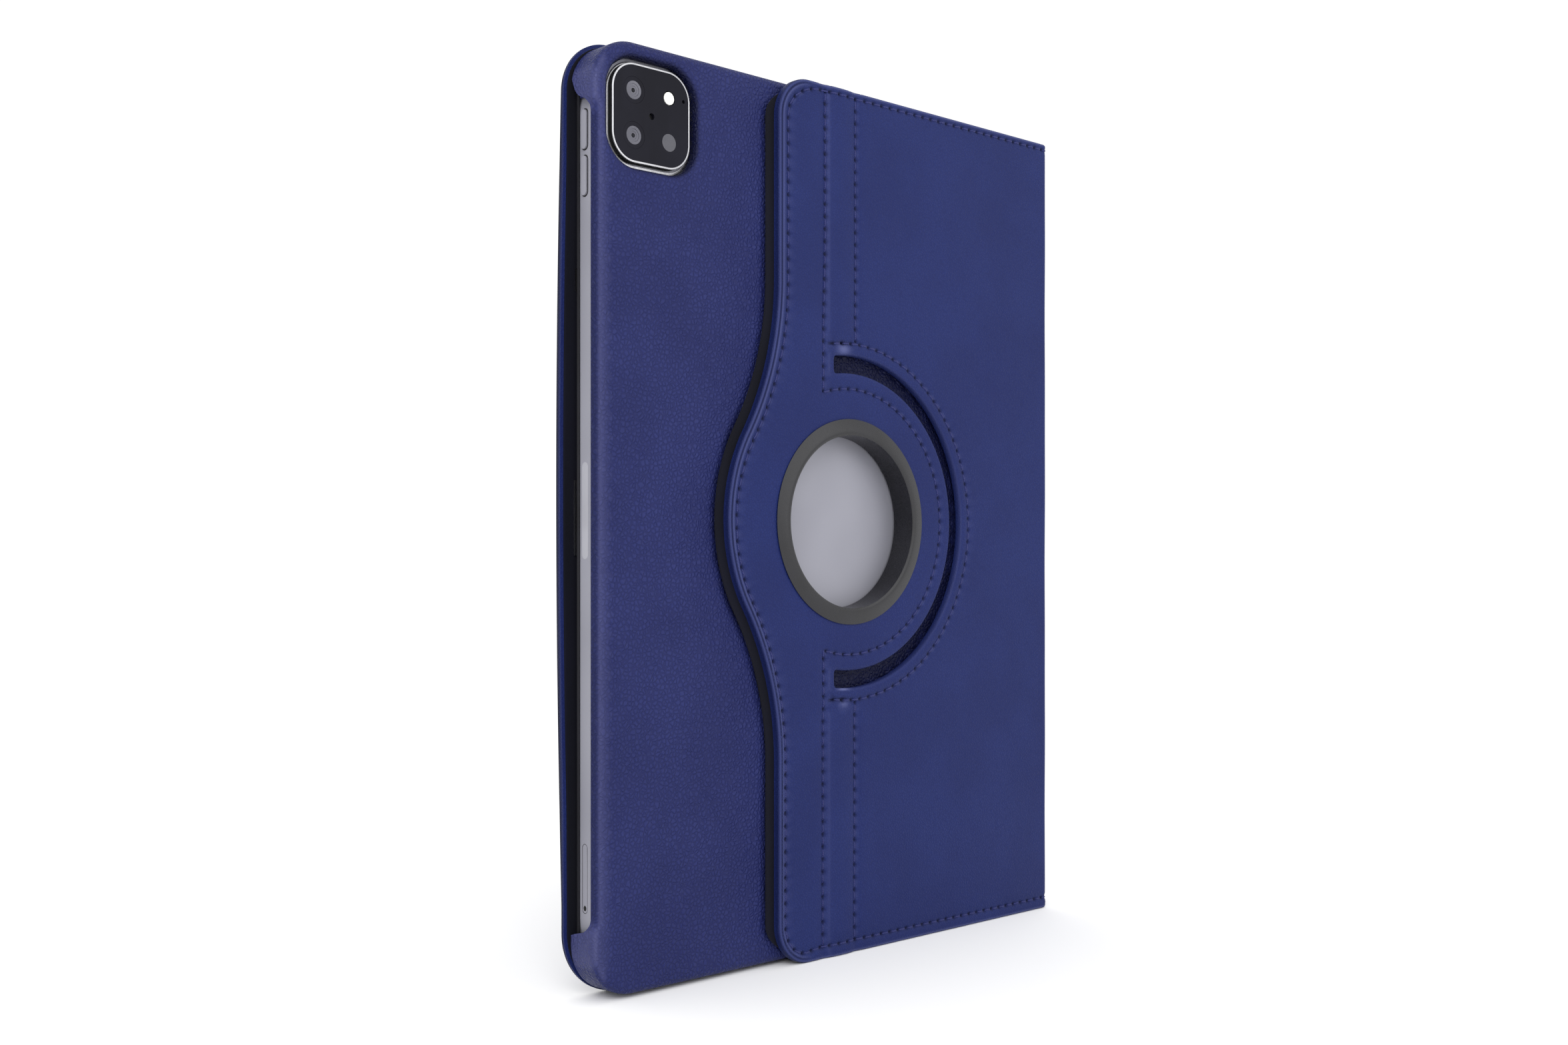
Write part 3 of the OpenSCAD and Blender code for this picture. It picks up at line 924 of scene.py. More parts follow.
edge = back_edge()
slot = slot_loop()
ring_hole = circle_loop(HOLE_R)
back_outline = np.vstack([edge, line((SEAM_U, -HALF_H), (SEAM_U, HALF_H))[1:-1]])
paths = stitch_paths_back()
edge_normals = left_normals(edge)
slot_normals = left_normals(slot, closed=True)
ring_points = [edge + edge_normals * d for d in EDGE_RINGS]
ring_points += [slot - slot_normals * d for d in EDGE_RINGS]
valley_lines = [
    line((x + offset, s * 56), (x + offset, s * (HALF_H - 0.5)), 1.2)
    for x in (FOLD_LEFT, FOLD_RIGHT)
    for s in (-1, 1)
    for offset in (-2.4, -1.7, 1.7, 2.4)
]
turn_lines = [
    line((u, -HALF_H + 0.5), (u, HALF_H - 0.5), 1.5)
    for u in np.arange(SPINE_X - 3, SEAM_U, 0.45)
]
features = np.vstack(ring_points + valley_lines + turn_lines + [stitch_features(paths)])


def board_depth(where):
    """How thick the leather and its board are: thin beyond the board."""
    u, z = where[:, 0], where[:, 1]
    full = PANEL_T - LINING_T
    beyond_board = smooth_step(u, BOARD_END, BOARD_END + 2.4)
    return full - (full - SKIN_T) * beyond_board


def back_base(where):
    return back_ground(where, edge, slot, ring_hole)


def back_heights(where):
    return back_base(where) - stitched_relief(where, paths)


back_leather, back_where, back_levels = closed_leather(
    "back_leather",
    back_outline,
    [slot, ring_hole],
    features,
    back_heights,
    board_depth,
    turned,
    cover_leather,
    2.2,
)
near_edge, _ = path_distance(back_where, edge)
near_slot, _ = path_distance(back_where, slot)
back_x, back_z = back_where[:, 0], back_where[:, 1]
at_flap = smooth_step(-back_x, 14, 24)
# Painted highlights: light patches beside the slot's ends and a bright streak along the slot's lower outer
# edge
slot_highlights = 0.55 * oval(back_x, back_z, (-3.4, 50.7), 2.4, 1.5)
slot_highlights += 0.45 * oval(back_x, back_z, (-3.4, -53.8), 1.7, 0.9)
slot_highlights += 0.9 * oval(back_x, back_z, (-3.2, -49.2), 2.2, 0.35)
# Painted highlight on the ridge beside the fold's left sewing line
fold_ridge_highlight = bell(back_x - FOLD_LEFT - 1.6, 0.6) * smooth_step(np.abs(back_z), 40, 44)
# Painted highlights: a light line inside the edge, two light crests along the flap's edge, a light rim along
# the slot and light dashes beside the stitches
back_highlight = 0.35 * bell(near_edge - 0.45, 0.4) * (1 - at_flap)
back_highlight += (0.22 * bell(near_edge - 0.5, 0.26) + 0.36 * bell(near_edge - 1.7, 0.3)) * at_flap
back_highlight += 0.12 * bell(near_slot, 0.5) + slot_highlights + 0.1 * fold_ridge_highlight + 0.16 * pucker_highlights(back_where, paths)
# Painted shade in the needle holes, in the groove inside the flap's edge and in the dents by the slot's ends;
# also a darker line along the very edge
back_shade = hole_shade(back_where, paths) + 0.4 * bell(near_edge, 0.22)
back_shade += 0.7 * bell(near_edge - 1.15, 0.22) * at_flap + 0.7 * slot_dents(back_x, back_z)
paint(back_leather, "painted_highlight", np.clip(back_highlight, 0, 1))
paint(back_leather, "shade", np.clip(back_shade, 0, 1))
back_thread = sewn("back_thread", paths, turned, back_base, thread)

for made in (back_leather, back_thread):
    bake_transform(made)
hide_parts("flap_skin", "flap_board", "panel_skin", "panel_board", "fold_strip", "spine_skin")

# ---------------------------------------------------------------- front cover leather

FRONT_BOW = 1.5
FRONT_STITCH_INSET = 3.0


def front_edge():
    """The front leather's free edge, from the seam on the spine round the cover's left side."""
    top, bottom = FRONT_TOP_R, FRONT_BOTTOM_R
    top_middle = (COVER_LEFT + top, HALF_H - top)
    bottom_middle = (COVER_LEFT + bottom, bottom - HALF_H)
    path = joined(
        line((SEAM_U, HALF_H), (top_middle[0], HALF_H)),
        arc(top_middle, top, 90, 180),
        line((COVER_LEFT, top_middle[1]), (COVER_LEFT, bottom_middle[1])),
        arc(bottom_middle, bottom, 180, 270),
        line((bottom_middle[0], -HALF_H), (SEAM_U, -HALF_H)),
    )
    return resampled(path, 1.0)


def place_front(where, depth):
    """Places flat leather on the front of the case.

    Its free side bows out beside the middle and is drawn in at the corners, where it thins.
    """
    points = mirrored_front(turned(where, depth))
    lever = smooth_step(-points[:, 0], -70, -COVER_LEFT)
    bow = FRONT_BOW * np.maximum(1 - ((where[:, 1] - 8) / 85) ** 2, -0.7)
    outer_share = np.clip(1 - np.asarray(depth) / FRONT_T, 0, 1)
    points[:, 1] += lever * bow * np.where(bow < 0, outer_share, 1)
    return points


front_path = front_edge()
front_normals = left_normals(front_path)
front_outline = np.vstack([front_path, line((SEAM_U, -HALF_H), (SEAM_U, HALF_H))[1:-1]])
front_sewing = [front_path + front_normals * FRONT_STITCH_INSET]


def front_base(where):
    to_edge, _ = path_distance(where, front_path)
    height = rounded_edge(to_edge, 1.1)
    height += 0.14 * np.sin(math.pi * np.clip(to_edge / 2.9, 0, 1)) * (to_edge < 2.9)
    height += 1.3 * undulation(where, 2.1) * smooth_step(to_edge, 0, 10)
    return height


def front_heights(where):
    return front_base(where) - stitched_relief(where, front_sewing)


def front_depth(where):
    full = FRONT_T - LINING_T
    return full - (full - SKIN_T) * smooth_step(where[:, 0], BOARD_END, BOARD_END + 2.4)


front_features = np.vstack(
    [front_path + front_normals * d for d in FRONT_RINGS] + turn_lines + [stitch_features(front_sewing)]
)
front_leather, front_where, _ = closed_leather(
    "front_leather",
    front_outline,
    [],
    front_features,
    front_heights,
    front_depth,
    place_front,
    cover_leather,
    3.0,
)
front_near, _ = path_distance(front_where, front_path)
# Painted highlight: a light line 1.5 mm inside the edge
paint(front_leather, "painted_highlight", 0.35 * bell(front_near - 1.5, 0.5))
# Painted shade in the needle holes, and a dark band of painted shade along the cover's edge
front_shade = hole_shade(front_where, front_sewing) + 0.95 * (1 - smooth_step(front_near, 1.6, 3.2))
paint(front_leather, "shade", np.clip(front_shade, 0, 1))
front_thread = sewn("front_thread", front_sewing, place_front, front_base, thread)
for made in (front_leather, front_thread):
    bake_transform(made)
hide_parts("front_skin", "front_board", "spine_skin")

# ---------------------------------------------------------------- linings

LINING_INSET = 1.0


def lining_sheet(name, path, holes, depth_of, place, replaced, flap_shadow_overhang=0.0):
    """The soft lining that covers the inside of a cover, down into the folds."""
    normals = left_normals(path)
    along_flap = 1 - smooth_step(np.abs(path[:, 1]), 115, 125)
    # Along the flap the lining reaches out past the leather's edge: a dark band standing in for the shadow
    # under the flap
    shadow_overhang_at_flap = flap_shadow_overhang * smooth_step(-path[:, 0], 12, 24) * along_flap
    inner = path + normals * (LINING_INSET - shadow_overhang_at_flap)[:, None]
    inner[0, 1], inner[-1, 1] = HALF_H - LINING_INSET, LINING_INSET - HALF_H
    seam = line(inner[-1], inner[0])[1:-1]
    outline = np.vstack([inner, seam])

    def heights(where):
        to_edge, _ = path_distance(where, inner)
        lift = rounded_edge(to_edge, LINING_T * 0.6) + 0.4 * undulation(where, 4.4)
        return -(depth_of(where) + LINING_T + lift * 0.8)

    def underside(where):
        return depth_of(where) - 0.02

    rings = [inner + normals * d for d in (0.12, 0.35, 0.8)]
    feature_points = np.vstack(rings + turn_lines)
    made, _, _ = closed_leather(
        name, outline, holes, feature_points, heights, underside, place, lining, 4.0
    )
    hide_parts(*replaced)
    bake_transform(made)
    return made


def fold_depth(where):
    """Depth of the back lining: over the boards it lies high, and it drops into the soft fold."""
    u, z = where[:, 0], where[:, 1]
    depth = board_depth(where)
    before_right = 1 - smooth_step(u, FOLD_RIGHT - 1.2, FOLD_RIGHT + 0.6)
    in_fold = smooth_step(u, FOLD_LEFT - 0.6, FOLD_LEFT + 1.2) * before_right
    in_fold = in_fold * smooth_step(np.abs(z), SLOT_R + 0.5, SLOT_R + 3)
    return depth - 0.9 * in_fold


slot_lining = slot + slot_normals * -0.8
lining_sheet(
    "back_lining_cloth",
    edge,
    [slot_lining, circle_loop(HOLE_R + 0.8)],
    fold_depth,
    turned,
    ("flap_lining", "panel_lining", "spine_lining"),
    # The near-black lining reaches past the flap's edge as painted shadow on the tray
    flap_shadow_overhang=4.0,
)
lining_sheet(
    "front_lining_cloth",
    front_path,
    [],
    front_depth,
    place_front,
    ("front_lining", "spine_lining"),
)


def ridge(name, centre_x, length, width, rise):
    """A rounded raised bar, covered in lining cloth, that holds the tray's edge when it stands."""
    rows = []
    count = 60
    for t in np.linspace(-1, 1, count):
        z = t * length / 2
        end = math.sqrt(max(0.0, 1 - max(0, (abs(z) - length / 2 + width / 2) / (width / 2)) ** 2))
        for angle in np.radians(np.linspace(0, 180, 9)):
            x = centre_x + width / 2 * end * math.cos(angle)
            rows.append((x, z, rise * end * math.sin(angle)))
    flat = np.array(rows)
    base = front_depth(flat[:, :2]) + LINING_T - 0.1
    points = place_front(flat[:, :2], base + flat[:, 2])
    faces = []
    for i in range(count - 1):
        for k in range(8):
            a = i * 9 + k
            faces.append((a, a + 1, a + 10, a + 9))
        faces.append((i * 9 + 8, i * 9, i * 9 + 9, i * 9 + 17))
    made = make_object(name, points, faces, lining)
    fix_normals(made)
    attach(made, FRONT_BODY)
    return made


ridges_low, ridges_high = box_mm("stand_ridges")
ridge_pieces = [
    ridge(f"stand_ridge_{i}", x, ridges_high.z - ridges_low.z, 2.4, ridges_high.y - ridges_low.y)
    for i, x in enumerate((12, -13, -38), 1)
]
for made in ridge_pieces:
    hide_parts("stand_ridges")

# ---------------------------------------------------------------- tray

TRAY_R = 13.5
TRAY_ROUND = 2.3
WAIST = 1.2
CAMERA_X = (bump_low.x + bump_high.x) / 2
CAMERA_Z = (bump_low.z + bump_high.z) / 2 - AXIS_Z
WINDOW_MIDDLE = (CAMERA_X - 0.6, CAMERA_Z - 0.3)
WINDOW_W = 30.4
WINDOW_H = 29.4
WINDOW_R = 9.5
TRAY_HOLE_R = 27.2
TRAY_BACK = tray_low.y
TRAY_FRONT = tray_high.y
FLOOR_Y = felt_low.y
LIP_UNDER = tablet_high.y + 0.05
SIDE_Y = (tablet_low.y + tablet_high.y) / 2
TABLET_HALF_W = tablet_high.x
TABLET_HALF_H = (tablet_high.z - tablet_low.z) / 2
# The cavity's corners stay outside the camera window and are still covered by the lip
CAVITY_R = 15.0
SILL = 0.6


def matched_rect(half_w, half_h, r, long_steps=180, short_steps=60, corner_steps=24):
    """A rounded rectangle whose points match those of every other one."""
    x, z = half_w - r, half_h - r
    parts = []
    for sx, sz, start in ((1, -1, -90), (1, 1, 0), (-1, 1, 90), (-1, -1, 180)):
        angles = np.radians(np.linspace(start, start + 90, corner_steps + 1))
        parts.append(np.column_stack([sx * x + r * np.cos(angles), sz * z + r * np.sin(angles)]))
        steps = long_steps if start in (-90, 90) else short_steps
        following = {-90: (half_w, z), 0: (-x, half_h), 90: (-half_w, -z), 180: (x, -half_h)}[start]
        shares = np.linspace(0, 1, steps + 1)[:, None]
        side = parts[-1][-1] + (np.array(following) - parts[-1][-1]) * shares
        parts.append(side[1:-1])
    return np.vstack(parts)


def tray_ring(inset):
    """The tray's outline, drawn in along the side window."""
    ring = matched_rect(TRAY_HALF_W - inset, TRAY_HALF_H - inset, TRAY_R - inset)
    on_side = ring[:, 0] < inset - TRAY_HALF_W + 0.01
    drawn_in = smooth_step(ring[:, 1], -109, -105.5) * (1 - smooth_step(ring[:, 1], 107, 110))
    ring[on_side, 0] += WAIST * drawn_in[on_side]
    return ring


def cavity_ring(inset):
    return matched_rect(TABLET_HALF_W - inset, TABLET_HALF_H - inset, CAVITY_R - inset)


def tray_rings():
    """The tray's section from the back's rounded edge, over the lip and down to the inner floor."""
    rings = []
    for angle in np.radians(np.linspace(0, 90, 10)):
        inset = TRAY_ROUND * (1 - math.sin(angle))
        rings.append((tray_ring(inset), TRAY_BACK + TRAY_ROUND * (1 - math.cos(angle))))
    for y in np.linspace(TRAY_BACK + TRAY_ROUND, TRAY_FRONT - 1.0, 5)[1:]:
        rings.append((tray_ring(0), y))
    for share in np.linspace(0, 180, 9)[1:]:
        angle = math.radians(share)
        bead = 0.22 * math.sin(angle)
        inset = 0.5 * (1 - math.cos(angle)) - bead
        rings.append((tray_ring(inset), TRAY_FRONT - 0.5 + 0.5 * math.sin(angle)))
    rings.append((cavity_ring(1.3), TRAY_FRONT - 0.12))
    rings.append((cavity_ring(1.6), TRAY_FRONT - 0.3))
    rings.append((cavity_ring(1.6), LIP_UNDER))
    rings.append((cavity_ring(-0.1), LIP_UNDER))
    rings.append((cavity_ring(-0.1), FLOOR_Y))
    return rings


def window_profile():
    """The side window's outline in Y and Z. It widens towards the front."""
    back = tablet_low.y - SILL
    front = TRAY_FRONT + 3
    corners = [
        (back, -108.2, 4.5),
        (TRAY_FRONT - 1.0, -109.7, 1.5),
        (front, -111.5, 0),
        (front, 121.0, 0),
        (TRAY_FRONT - 0.6, 115.0, 1.5),
        (TRAY_FRONT - 2.6, 110.9, 2.5),
        (back, 109.0, 2.5),
    ]
    return np.array(rounded_profile(corners, 1.0, 8)) + np.array((0, AXIS_Z))


def build_tray():
    """The leather-covered tray: one closed body with its windows cut and their edges rounded."""
    rings = tray_rings()
    camera_loop = rounded_rect_loop(WINDOW_MIDDLE, WINDOW_W, WINDOW_H, WINDOW_R)
    hole_loop = circle_loop(TRAY_HOLE_R)
    holes = [camera_loop, hole_loop]
    camera_normals = left_normals(camera_loop, closed=True)
    around = np.vstack([camera_loop - camera_normals * d for d in (0.08, 0.25, 0.5, 0.9, 1.4, 2.2)])
    outline = rings[0][0]
    where, triangles, ids = triangulated(outline, holes, around, grid_points((-92, -127), (92, 127), 3.0))
    to_camera, _ = path_distance(where, np.vstack([camera_loop, camera_loop[:1]]))
    to_edge, _ = path_distance(where, np.vstack([outline, outline[:1]]))
    height = rounded_edge(to_camera, 1.2)
    height += 0.12 * bell(to_camera - 2.4, 1.2)
    height += 0.9 * undulation(where, 1.3) * smooth_step(to_edge, 0, 6) * smooth_step(to_camera, 0, 5)
    points = [np.column_stack([where[:, 0], TRAY_BACK - height, AXIS_Z + where[:, 1]])]
    faces = orient(triangles, where)
    total = len(where)
    previous = ids[0]
    for ring, y in rings[1:]:
        points.append(np.column_stack([ring[:, 0], np.full(len(ring), y), AXIS_Z + ring[:, 1]]))
        current = list(range(total, total + len(ring)))
        total += len(ring)
        for i in range(len(ring)):
            j = (i + 1) % len(ring)
            faces.append((previous[i], previous[j], current[j], current[i]))
        previous = current
    floor_where, floor_triangles, floor_ids = triangulated(
        rings[-1][0], holes, np.zeros((0, 2)), grid_points((-92, -127), (92, 127), 12.0)
    )
    shift = total
    floor_depth = np.full(len(floor_where), FLOOR_Y)
    points.append(np.column_stack([floor_where[:, 0], floor_depth, AXIS_Z + floor_where[:, 1]]))
    faces += [tuple(shift + i for i in reversed(f)) for f in orient(floor_triangles, floor_where)]
    for outer_ids, floor_loop in ((ids[1], floor_ids[1]), (ids[2], floor_ids[2])):
        inner_ids = [shift + i for i in floor_loop]
        count = len(outer_ids)
        for i in range(count):
            j = (i + 1) % count
            faces.append((outer_ids[j], outer_ids[i], inner_ids[i], inner_ids[j]))
    made = make_object("tray_cover", np.vstack(points), faces, tray_leather)
    work = bmesh.new()
    work.from_mesh(made.data)
    bmesh.ops.remove_doubles(work, verts=work.verts, dist=1e-6)
    bmesh.ops.recalc_face_normals(work, faces=work.faces)
    work.to_mesh(made.data)
    work.free()
    return made


def end_cutters():
    """Solids that cut the windows of the tray's top and bottom walls."""
    made = []
    for side in (-1, 1):
        low, high = sorted((AXIS_Z + side * (TRAY_HALF_H + 5), AXIS_Z + side * (TRAY_HALF_H - 5)))
        for x, width in ((-58, 42), (58, 42)) + (((0, 30),) if side < 0 else ()):
            loop = rounded_rect_loop((x, SIDE_Y), width, 5.6, 2.7, 0.5)
            made.append(prism(f"cutter_{side}_{x}", loop, "Z", low, high))
    return made


def round_cut_edges(made, width):
    """Rounds the window edges that the cutting left on the outside of the tray."""
    work = bmesh.new()
    work.from_mesh(made.data)
    chosen = []
    for e in work.edges:
        if len(e.link_faces) != 2 or e.calc_face_angle(0) < math.radians(50):
            continue
        middle = (e.verts[0].co + e.verts[1].co) / 2 / MM
        beside_window = abs(middle.z - AXIS_Z) < 114 and middle.y < TRAY_FRONT - 1.2
        on_side = middle.x < -TABLET_HALF_W - 0.3 and beside_window
        on_end = abs(middle.z - AXIS_Z) > TRAY_HALF_H - 0.4 and middle.y > TRAY_BACK + 3
        if on_side or on_end:
            chosen.append(e)
    bmesh.ops.bevel(
        work,
        geom=chosen,
        offset=width * MM,
        segments=3,
        affect="EDGES",
        profile=0.6,
        clamp_overlap=True,
        # The new rounded faces take the second slot, the lighter tray leather: painted highlight
        material=1,
    )
    work.to_mesh(made.data)
    work.free()


tray = build_tray()
cut(tray, [prism("cutter_side", window_profile(), "X", -TRAY_HALF_W - 5, -TABLET_HALF_W)] + end_cutters())
# Second slot: the lighter tray leather, a painted highlight on the rounded window edges
tray.data.materials.append(tray_edge_highlight)
round_cut_edges(tray, 0.5)
tray.data.shade_smooth()
sharpen(tray, 40)
tray_points = np.array([tuple(v.co) for v in tray.data.vertices]) / MM
tray_x = tray_points[:, 0]
tray_depth = tray_points[:, 1] - TRAY_BACK
tray_z = np.abs(tray_points[:, 2] - AXIS_Z)
# Painted highlight on the corner tabs beside the side window
on_tab = smooth_step(-tray_x, 89.6, 90.6) * smooth_step(tray_z, 104, 107)
# Painted shade on the side wall beside the side window
on_wall = smooth_step(-tray_x, 89.0, 89.7) * (1 - smooth_step(tray_z, 104, 107))
# Painted highlight along the back's rounded edge on the left side
turning = bell(tray_depth - 0.35, 0.5) * smooth_step(-tray_x, 86.5, 88.0)
window_loop = rounded_rect_loop(WINDOW_MIDDLE, WINDOW_W, WINDOW_H, WINDOW_R) + np.array((0, AXIS_Z))
near_window, _ = path_distance(tray_points[:, [0, 2]], np.vstack([window_loop, window_loop[:1]]))
paint(tray, "painted_highlight", np.clip(0.3 * on_tab + 0.3 * turning, 0, 1))
from_axis = np.hypot(tray_x, tray_z)
# Painted shade in the slot's floor and round the camera window
inside_slot_edge = 1 - smooth_step(from_axis, SLOT_R + 0.5, SLOT_R + 1.8)
in_slot = smooth_step(from_axis, DISC_R - 2.5, DISC_R - 0.5) * inside_slot_edge
paint(tray, "shade", np.clip(0.3 * on_wall + 0.85 * bell(near_window, 0.8) + 0.8 * in_slot, 0, 1))
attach(tray, "tray")
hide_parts("tray_leather", "tray_shell")

# ---------------------------------------------------------------- felt pad

felt_outline = matched_rect(felt_high.x, (felt_high.z - felt_low.z) / 2, CAVITY_R - 0.5)


def place_felt(where, depth):
    return np.column_stack([where[:, 0], felt_high.y + depth, AXIS_Z + where[:, 1]])


# The camera hole stays close round the bump, so the dark felt fills the window's gap: painted shade
felt_pad, _, _ = closed_leather(
    "felt_pad",
    felt_outline,
    [rounded_rect_loop((CAMERA_X, CAMERA_Z), 29.6, 29.6, 8.7), circle_loop(TRAY_HOLE_R)],
    np.zeros((0, 2)),
    lambda where: np.full(len(where), felt_high.y - felt_low.y) + 0.3 * undulation(where, 5.0) - 0.05,
    lambda where: np.full(len(where), 0.0),
    place_felt,
    felt,
    6.0,
)
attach(felt_pad, "tray")
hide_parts("tray_felt")

# ---------------------------------------------------------------- swivel ring

ring_top = bezel_low.y
ring_inner = RING_R - 4.8
ring_drop = 0.9
ring_profile = [(ring_inner, bezel_high.y)]
for share in np.linspace(0, 1, 15):
    fall = ring_drop * share**1.4 + 0.4 * (1 - share) ** 8
    ring_profile.append((ring_inner + share * (RING_R - ring_inner), ring_top + fall))
ring_profile += [(RING_R, BACK_Y - 0.25), (ring_inner + 2, BACK_Y - 0.25), (ring_inner + 2, bezel_high.y)]
ring_piece = lathe("swivel_ring", ring_profile, (0, AXIS_Z), ring_plastic, 160)
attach(ring_piece, "tray")
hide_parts("ring_bezel")

# ---------------------------------------------------------------- camera

GLASS_Y = bump_low.y
TABLET_BACK = tablet_low.y
BUMP_HALF = (bump_high.x - bump_low.x) / 2
BUMP_R = 7.6


def swept_square(name, profile, material, aside=(0, 0)):
    """A rounded square ring about the camera's middle. The profile lists each offset and Y."""
    rings = [
        matched_rect(BUMP_HALF + offset, BUMP_HALF + offset, BUMP_R + offset, 20, 20, 16)
        for offset, _ in profile
    ]
    count = len(rings[0])
    points = []
    for ring, (_, y) in zip(rings, profile):
        x = CAMERA_X + aside[0] + ring[:, 0]
        z = AXIS_Z + CAMERA_Z + aside[1] + ring[:, 1]
        points.append(np.column_stack([x, np.full(count, y), z]))
    faces = []
    rows = len(profile)
    for row in range(rows):
        after = (row + 1) % rows
        for i in range(count):
            j = (i + 1) % count
            faces.append((row * count + i, row * count + j, after * count + j, after * count + i))
    made = make_object(name, np.vstack(points), faces, material)
    fix_normals(made)
    sharpen(made, 40)
    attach(made, "tray")
    return made


# Each corner is an offset from the bump's outline, a Y and the radius that rounds it
BUMP_FOOT = TABLET_BACK + 0.02
SKIRT_SHIFT = (0.5, -0.4)
skirt_corners = [
    (0, BUMP_FOOT, 0),
    (0, TABLET_BACK - 0.5, 0.1),
    (0.9, TABLET_BACK - 0.42, 0.4),
    (1.1, BUMP_FOOT, 0),
]
wall_corners = [
    (-0.6, BUMP_FOOT, 0),
    (-0.6, GLASS_Y + 0.5, 0),
    (-0.1, GLASS_Y + 0.35, 0.05),
    (-0.02, BUMP_FOOT, 0),
]
rim_corners = [
    (-0.6, GLASS_Y + 0.5, 0),
    (-0.6, GLASS_Y - 0.03, 0.12),
    (-0.05, GLASS_Y, 0.2),
    (-0.05, GLASS_Y + 0.35, 0.05),
]
swept_square("camera_skirt", rounded_profile(skirt_corners, 0.2), polished_rim, SKIRT_SHIFT)
swept_square("camera_wall", rounded_profile(wall_corners, 0.05), black_paint)
rim = swept_square("camera_rim", rounded_profile(rim_corners, 0.2), polished_rim)
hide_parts("camera_bump")


def camera_plate_piece(name, half, r, low, high, material):
    """A thin rounded square plate behind the camera glass."""
    loop = rounded_rect_loop((CAMERA_X, CAMERA_Z), 2 * half, 2 * half, r)
    made, _, _ = closed_leather(
        name,
        loop,
        [],
        np.zeros((0, 2)),
        lambda where: rounded_edge(path_distance(where, np.vstack([loop, loop[:1]]))[0], 0.1),
        lambda where: np.full(len(where), high - low),
        lambda where, depth: np.column_stack([where[:, 0], low + depth, AXIS_Z + where[:, 1]]),
        material,
        3.0,
    )
    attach(made, "tray")
    return made


FLOOR_INSET = 0.65
camera_plate_piece(
    "camera_floor",
    BUMP_HALF - FLOOR_INSET,
    BUMP_R - FLOOR_INSET,
    GLASS_Y + 1.1,
    BUMP_FOOT,
    black_paint,
)


def lens_stack(name, centre):
    """One lens: a black cover ring, a stepped grey barrel and a small domed glass."""
    top = GLASS_Y + 0.02
    back = GLASS_Y + 0.9
    cover_corners = [(2.45, back, 0), (2.45, top + 0.02, 0.06), (3.58, top, 0.06), (3.58, back, 0)]
    cover = lathe(name + "_cover", rounded_profile(cover_corners, 0.05), centre, camera_plate, 64)
    barrel_steps = [(2.44, 0.9), (2.44, 0.08), (1.75, 0.12), (1.7, 0.22)]
    barrel_steps += [(1.1, 0.26), (1.05, 0.34), (0.6, 0.36), (0.6, 0.9)]
    barrel = lathe(name + "_barrel", [(r, GLASS_Y + d) for r, d in barrel_steps], centre, lens_ring, 64)
    dome_r, dome_y, dome_rise = 0.59, GLASS_Y + 0.42, 0.18
    dome = [(dome_r, back), (dome_r, dome_y)]
    for angle in np.radians([15, 30, 45, 60, 75, 87]):
        dome.append((dome_r * math.cos(angle), dome_y - dome_rise * math.sin(angle)))
    glass = lathe(name + "_glass", dome, centre, lens_glass, 48, closed=False)
    for made in (cover, barrel, glass):
        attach(made, "tray")
    return cover


def round_piece(name, steps, node, material):
    """A round camera piece in the place of its CAD node. The steps are radius and depth in the glass."""
    low, high = box_mm(node)
    profile = [(r, GLASS_Y + d) for r, d in steps]
    made = lathe(name, profile, ((low.x + high.x) / 2, (low.z + high.z) / 2), material, 64, closed=False)
    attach(made, "tray")
    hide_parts(node)


lenses_low, lenses_high = box_mm("camera_lenses")
LENS_R = (lenses_high.x - lenses_low.x) / 2
first_lens = lens_stack("upper_lens", (lenses_low.x + LENS_R, lenses_high.z - LENS_R))
lens_stack("lower_lens", (lenses_low.x + LENS_R, lenses_low.z + LENS_R))
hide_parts("camera_lenses")

flash_steps = [(1.72, 0.9), (1.72, 0.06)]
for i in range(5):
    flash_steps += [(1.6 - 0.31 * i, 0.02 + 0.015 * i), (1.35 - 0.31 * i, 0.1 + 0.01 * i)]
flash_steps.append((0.05, 0.06))
round_piece("flash_lens", flash_steps, "camera_flash", flash_plastic)
sensor_steps = [(2.38, 0.9), (2.38, 0.05), (2.25, 0.02), (2.0, 0.06), (0.9, 0.1), (0.05, 0.11)]
round_piece("depth_sensor_cover", sensor_steps, "depth_sensor", sensor_plastic)

# ---------------------------------------------------------------- gaps in the tablet's side

SIDE_X = tablet_low.x


def stadium_loop(middle_z, length, width):
    """A long oval in Y and Z on the tablet's side, anticlockwise."""
    r = width / 2
    reach = length / 2 - r
    path = joined(
        arc((SIDE_Y, middle_z + reach), r, 0, 180, 0.15),
        arc((SIDE_Y, middle_z - reach), r, 180, 360, 0.15),
    )
    return path


def side_gap_shade(name, outer, inner, proud):
    """A thin flat black ring on the tablet's side: painted shade standing in for the gap round a button."""
    count = len(outer)
    points = []
    for x in (SIDE_X - proud, SIDE_X + 0.1):
        for loop in (outer, inner):
            points += [(x, y, z) for y, z in loop]
    faces = []
    for i in range(count):
        j = (i + 1) % count
        for a, b in ((0, 1), (1, 3), (3, 2), (2, 0)):
            faces.append((a * count + i, a * count + j, b * count + j, b * count + i))
    made = make_object(name, points, faces, black_paint, smooth=False)
    fix_normals(made)
    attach(made, "tray")


for node_name in ("volume_up_button", "volume_down_button", "sim_tray"):
    low, high = box_mm(node_name)
    middle_z, length, width = (low.z + high.z) / 2, high.z - low.z, high.y - low.y
    gap = 0.3 if node_name == "sim_tray" else 0.7
    side_gap_shade(
        node_name + "_gap_shade",
        stadium_loop(middle_z, length + gap, width + gap),
        stadium_loop(middle_z, length + 0.12, width + 0.12),
        0.03,
    )

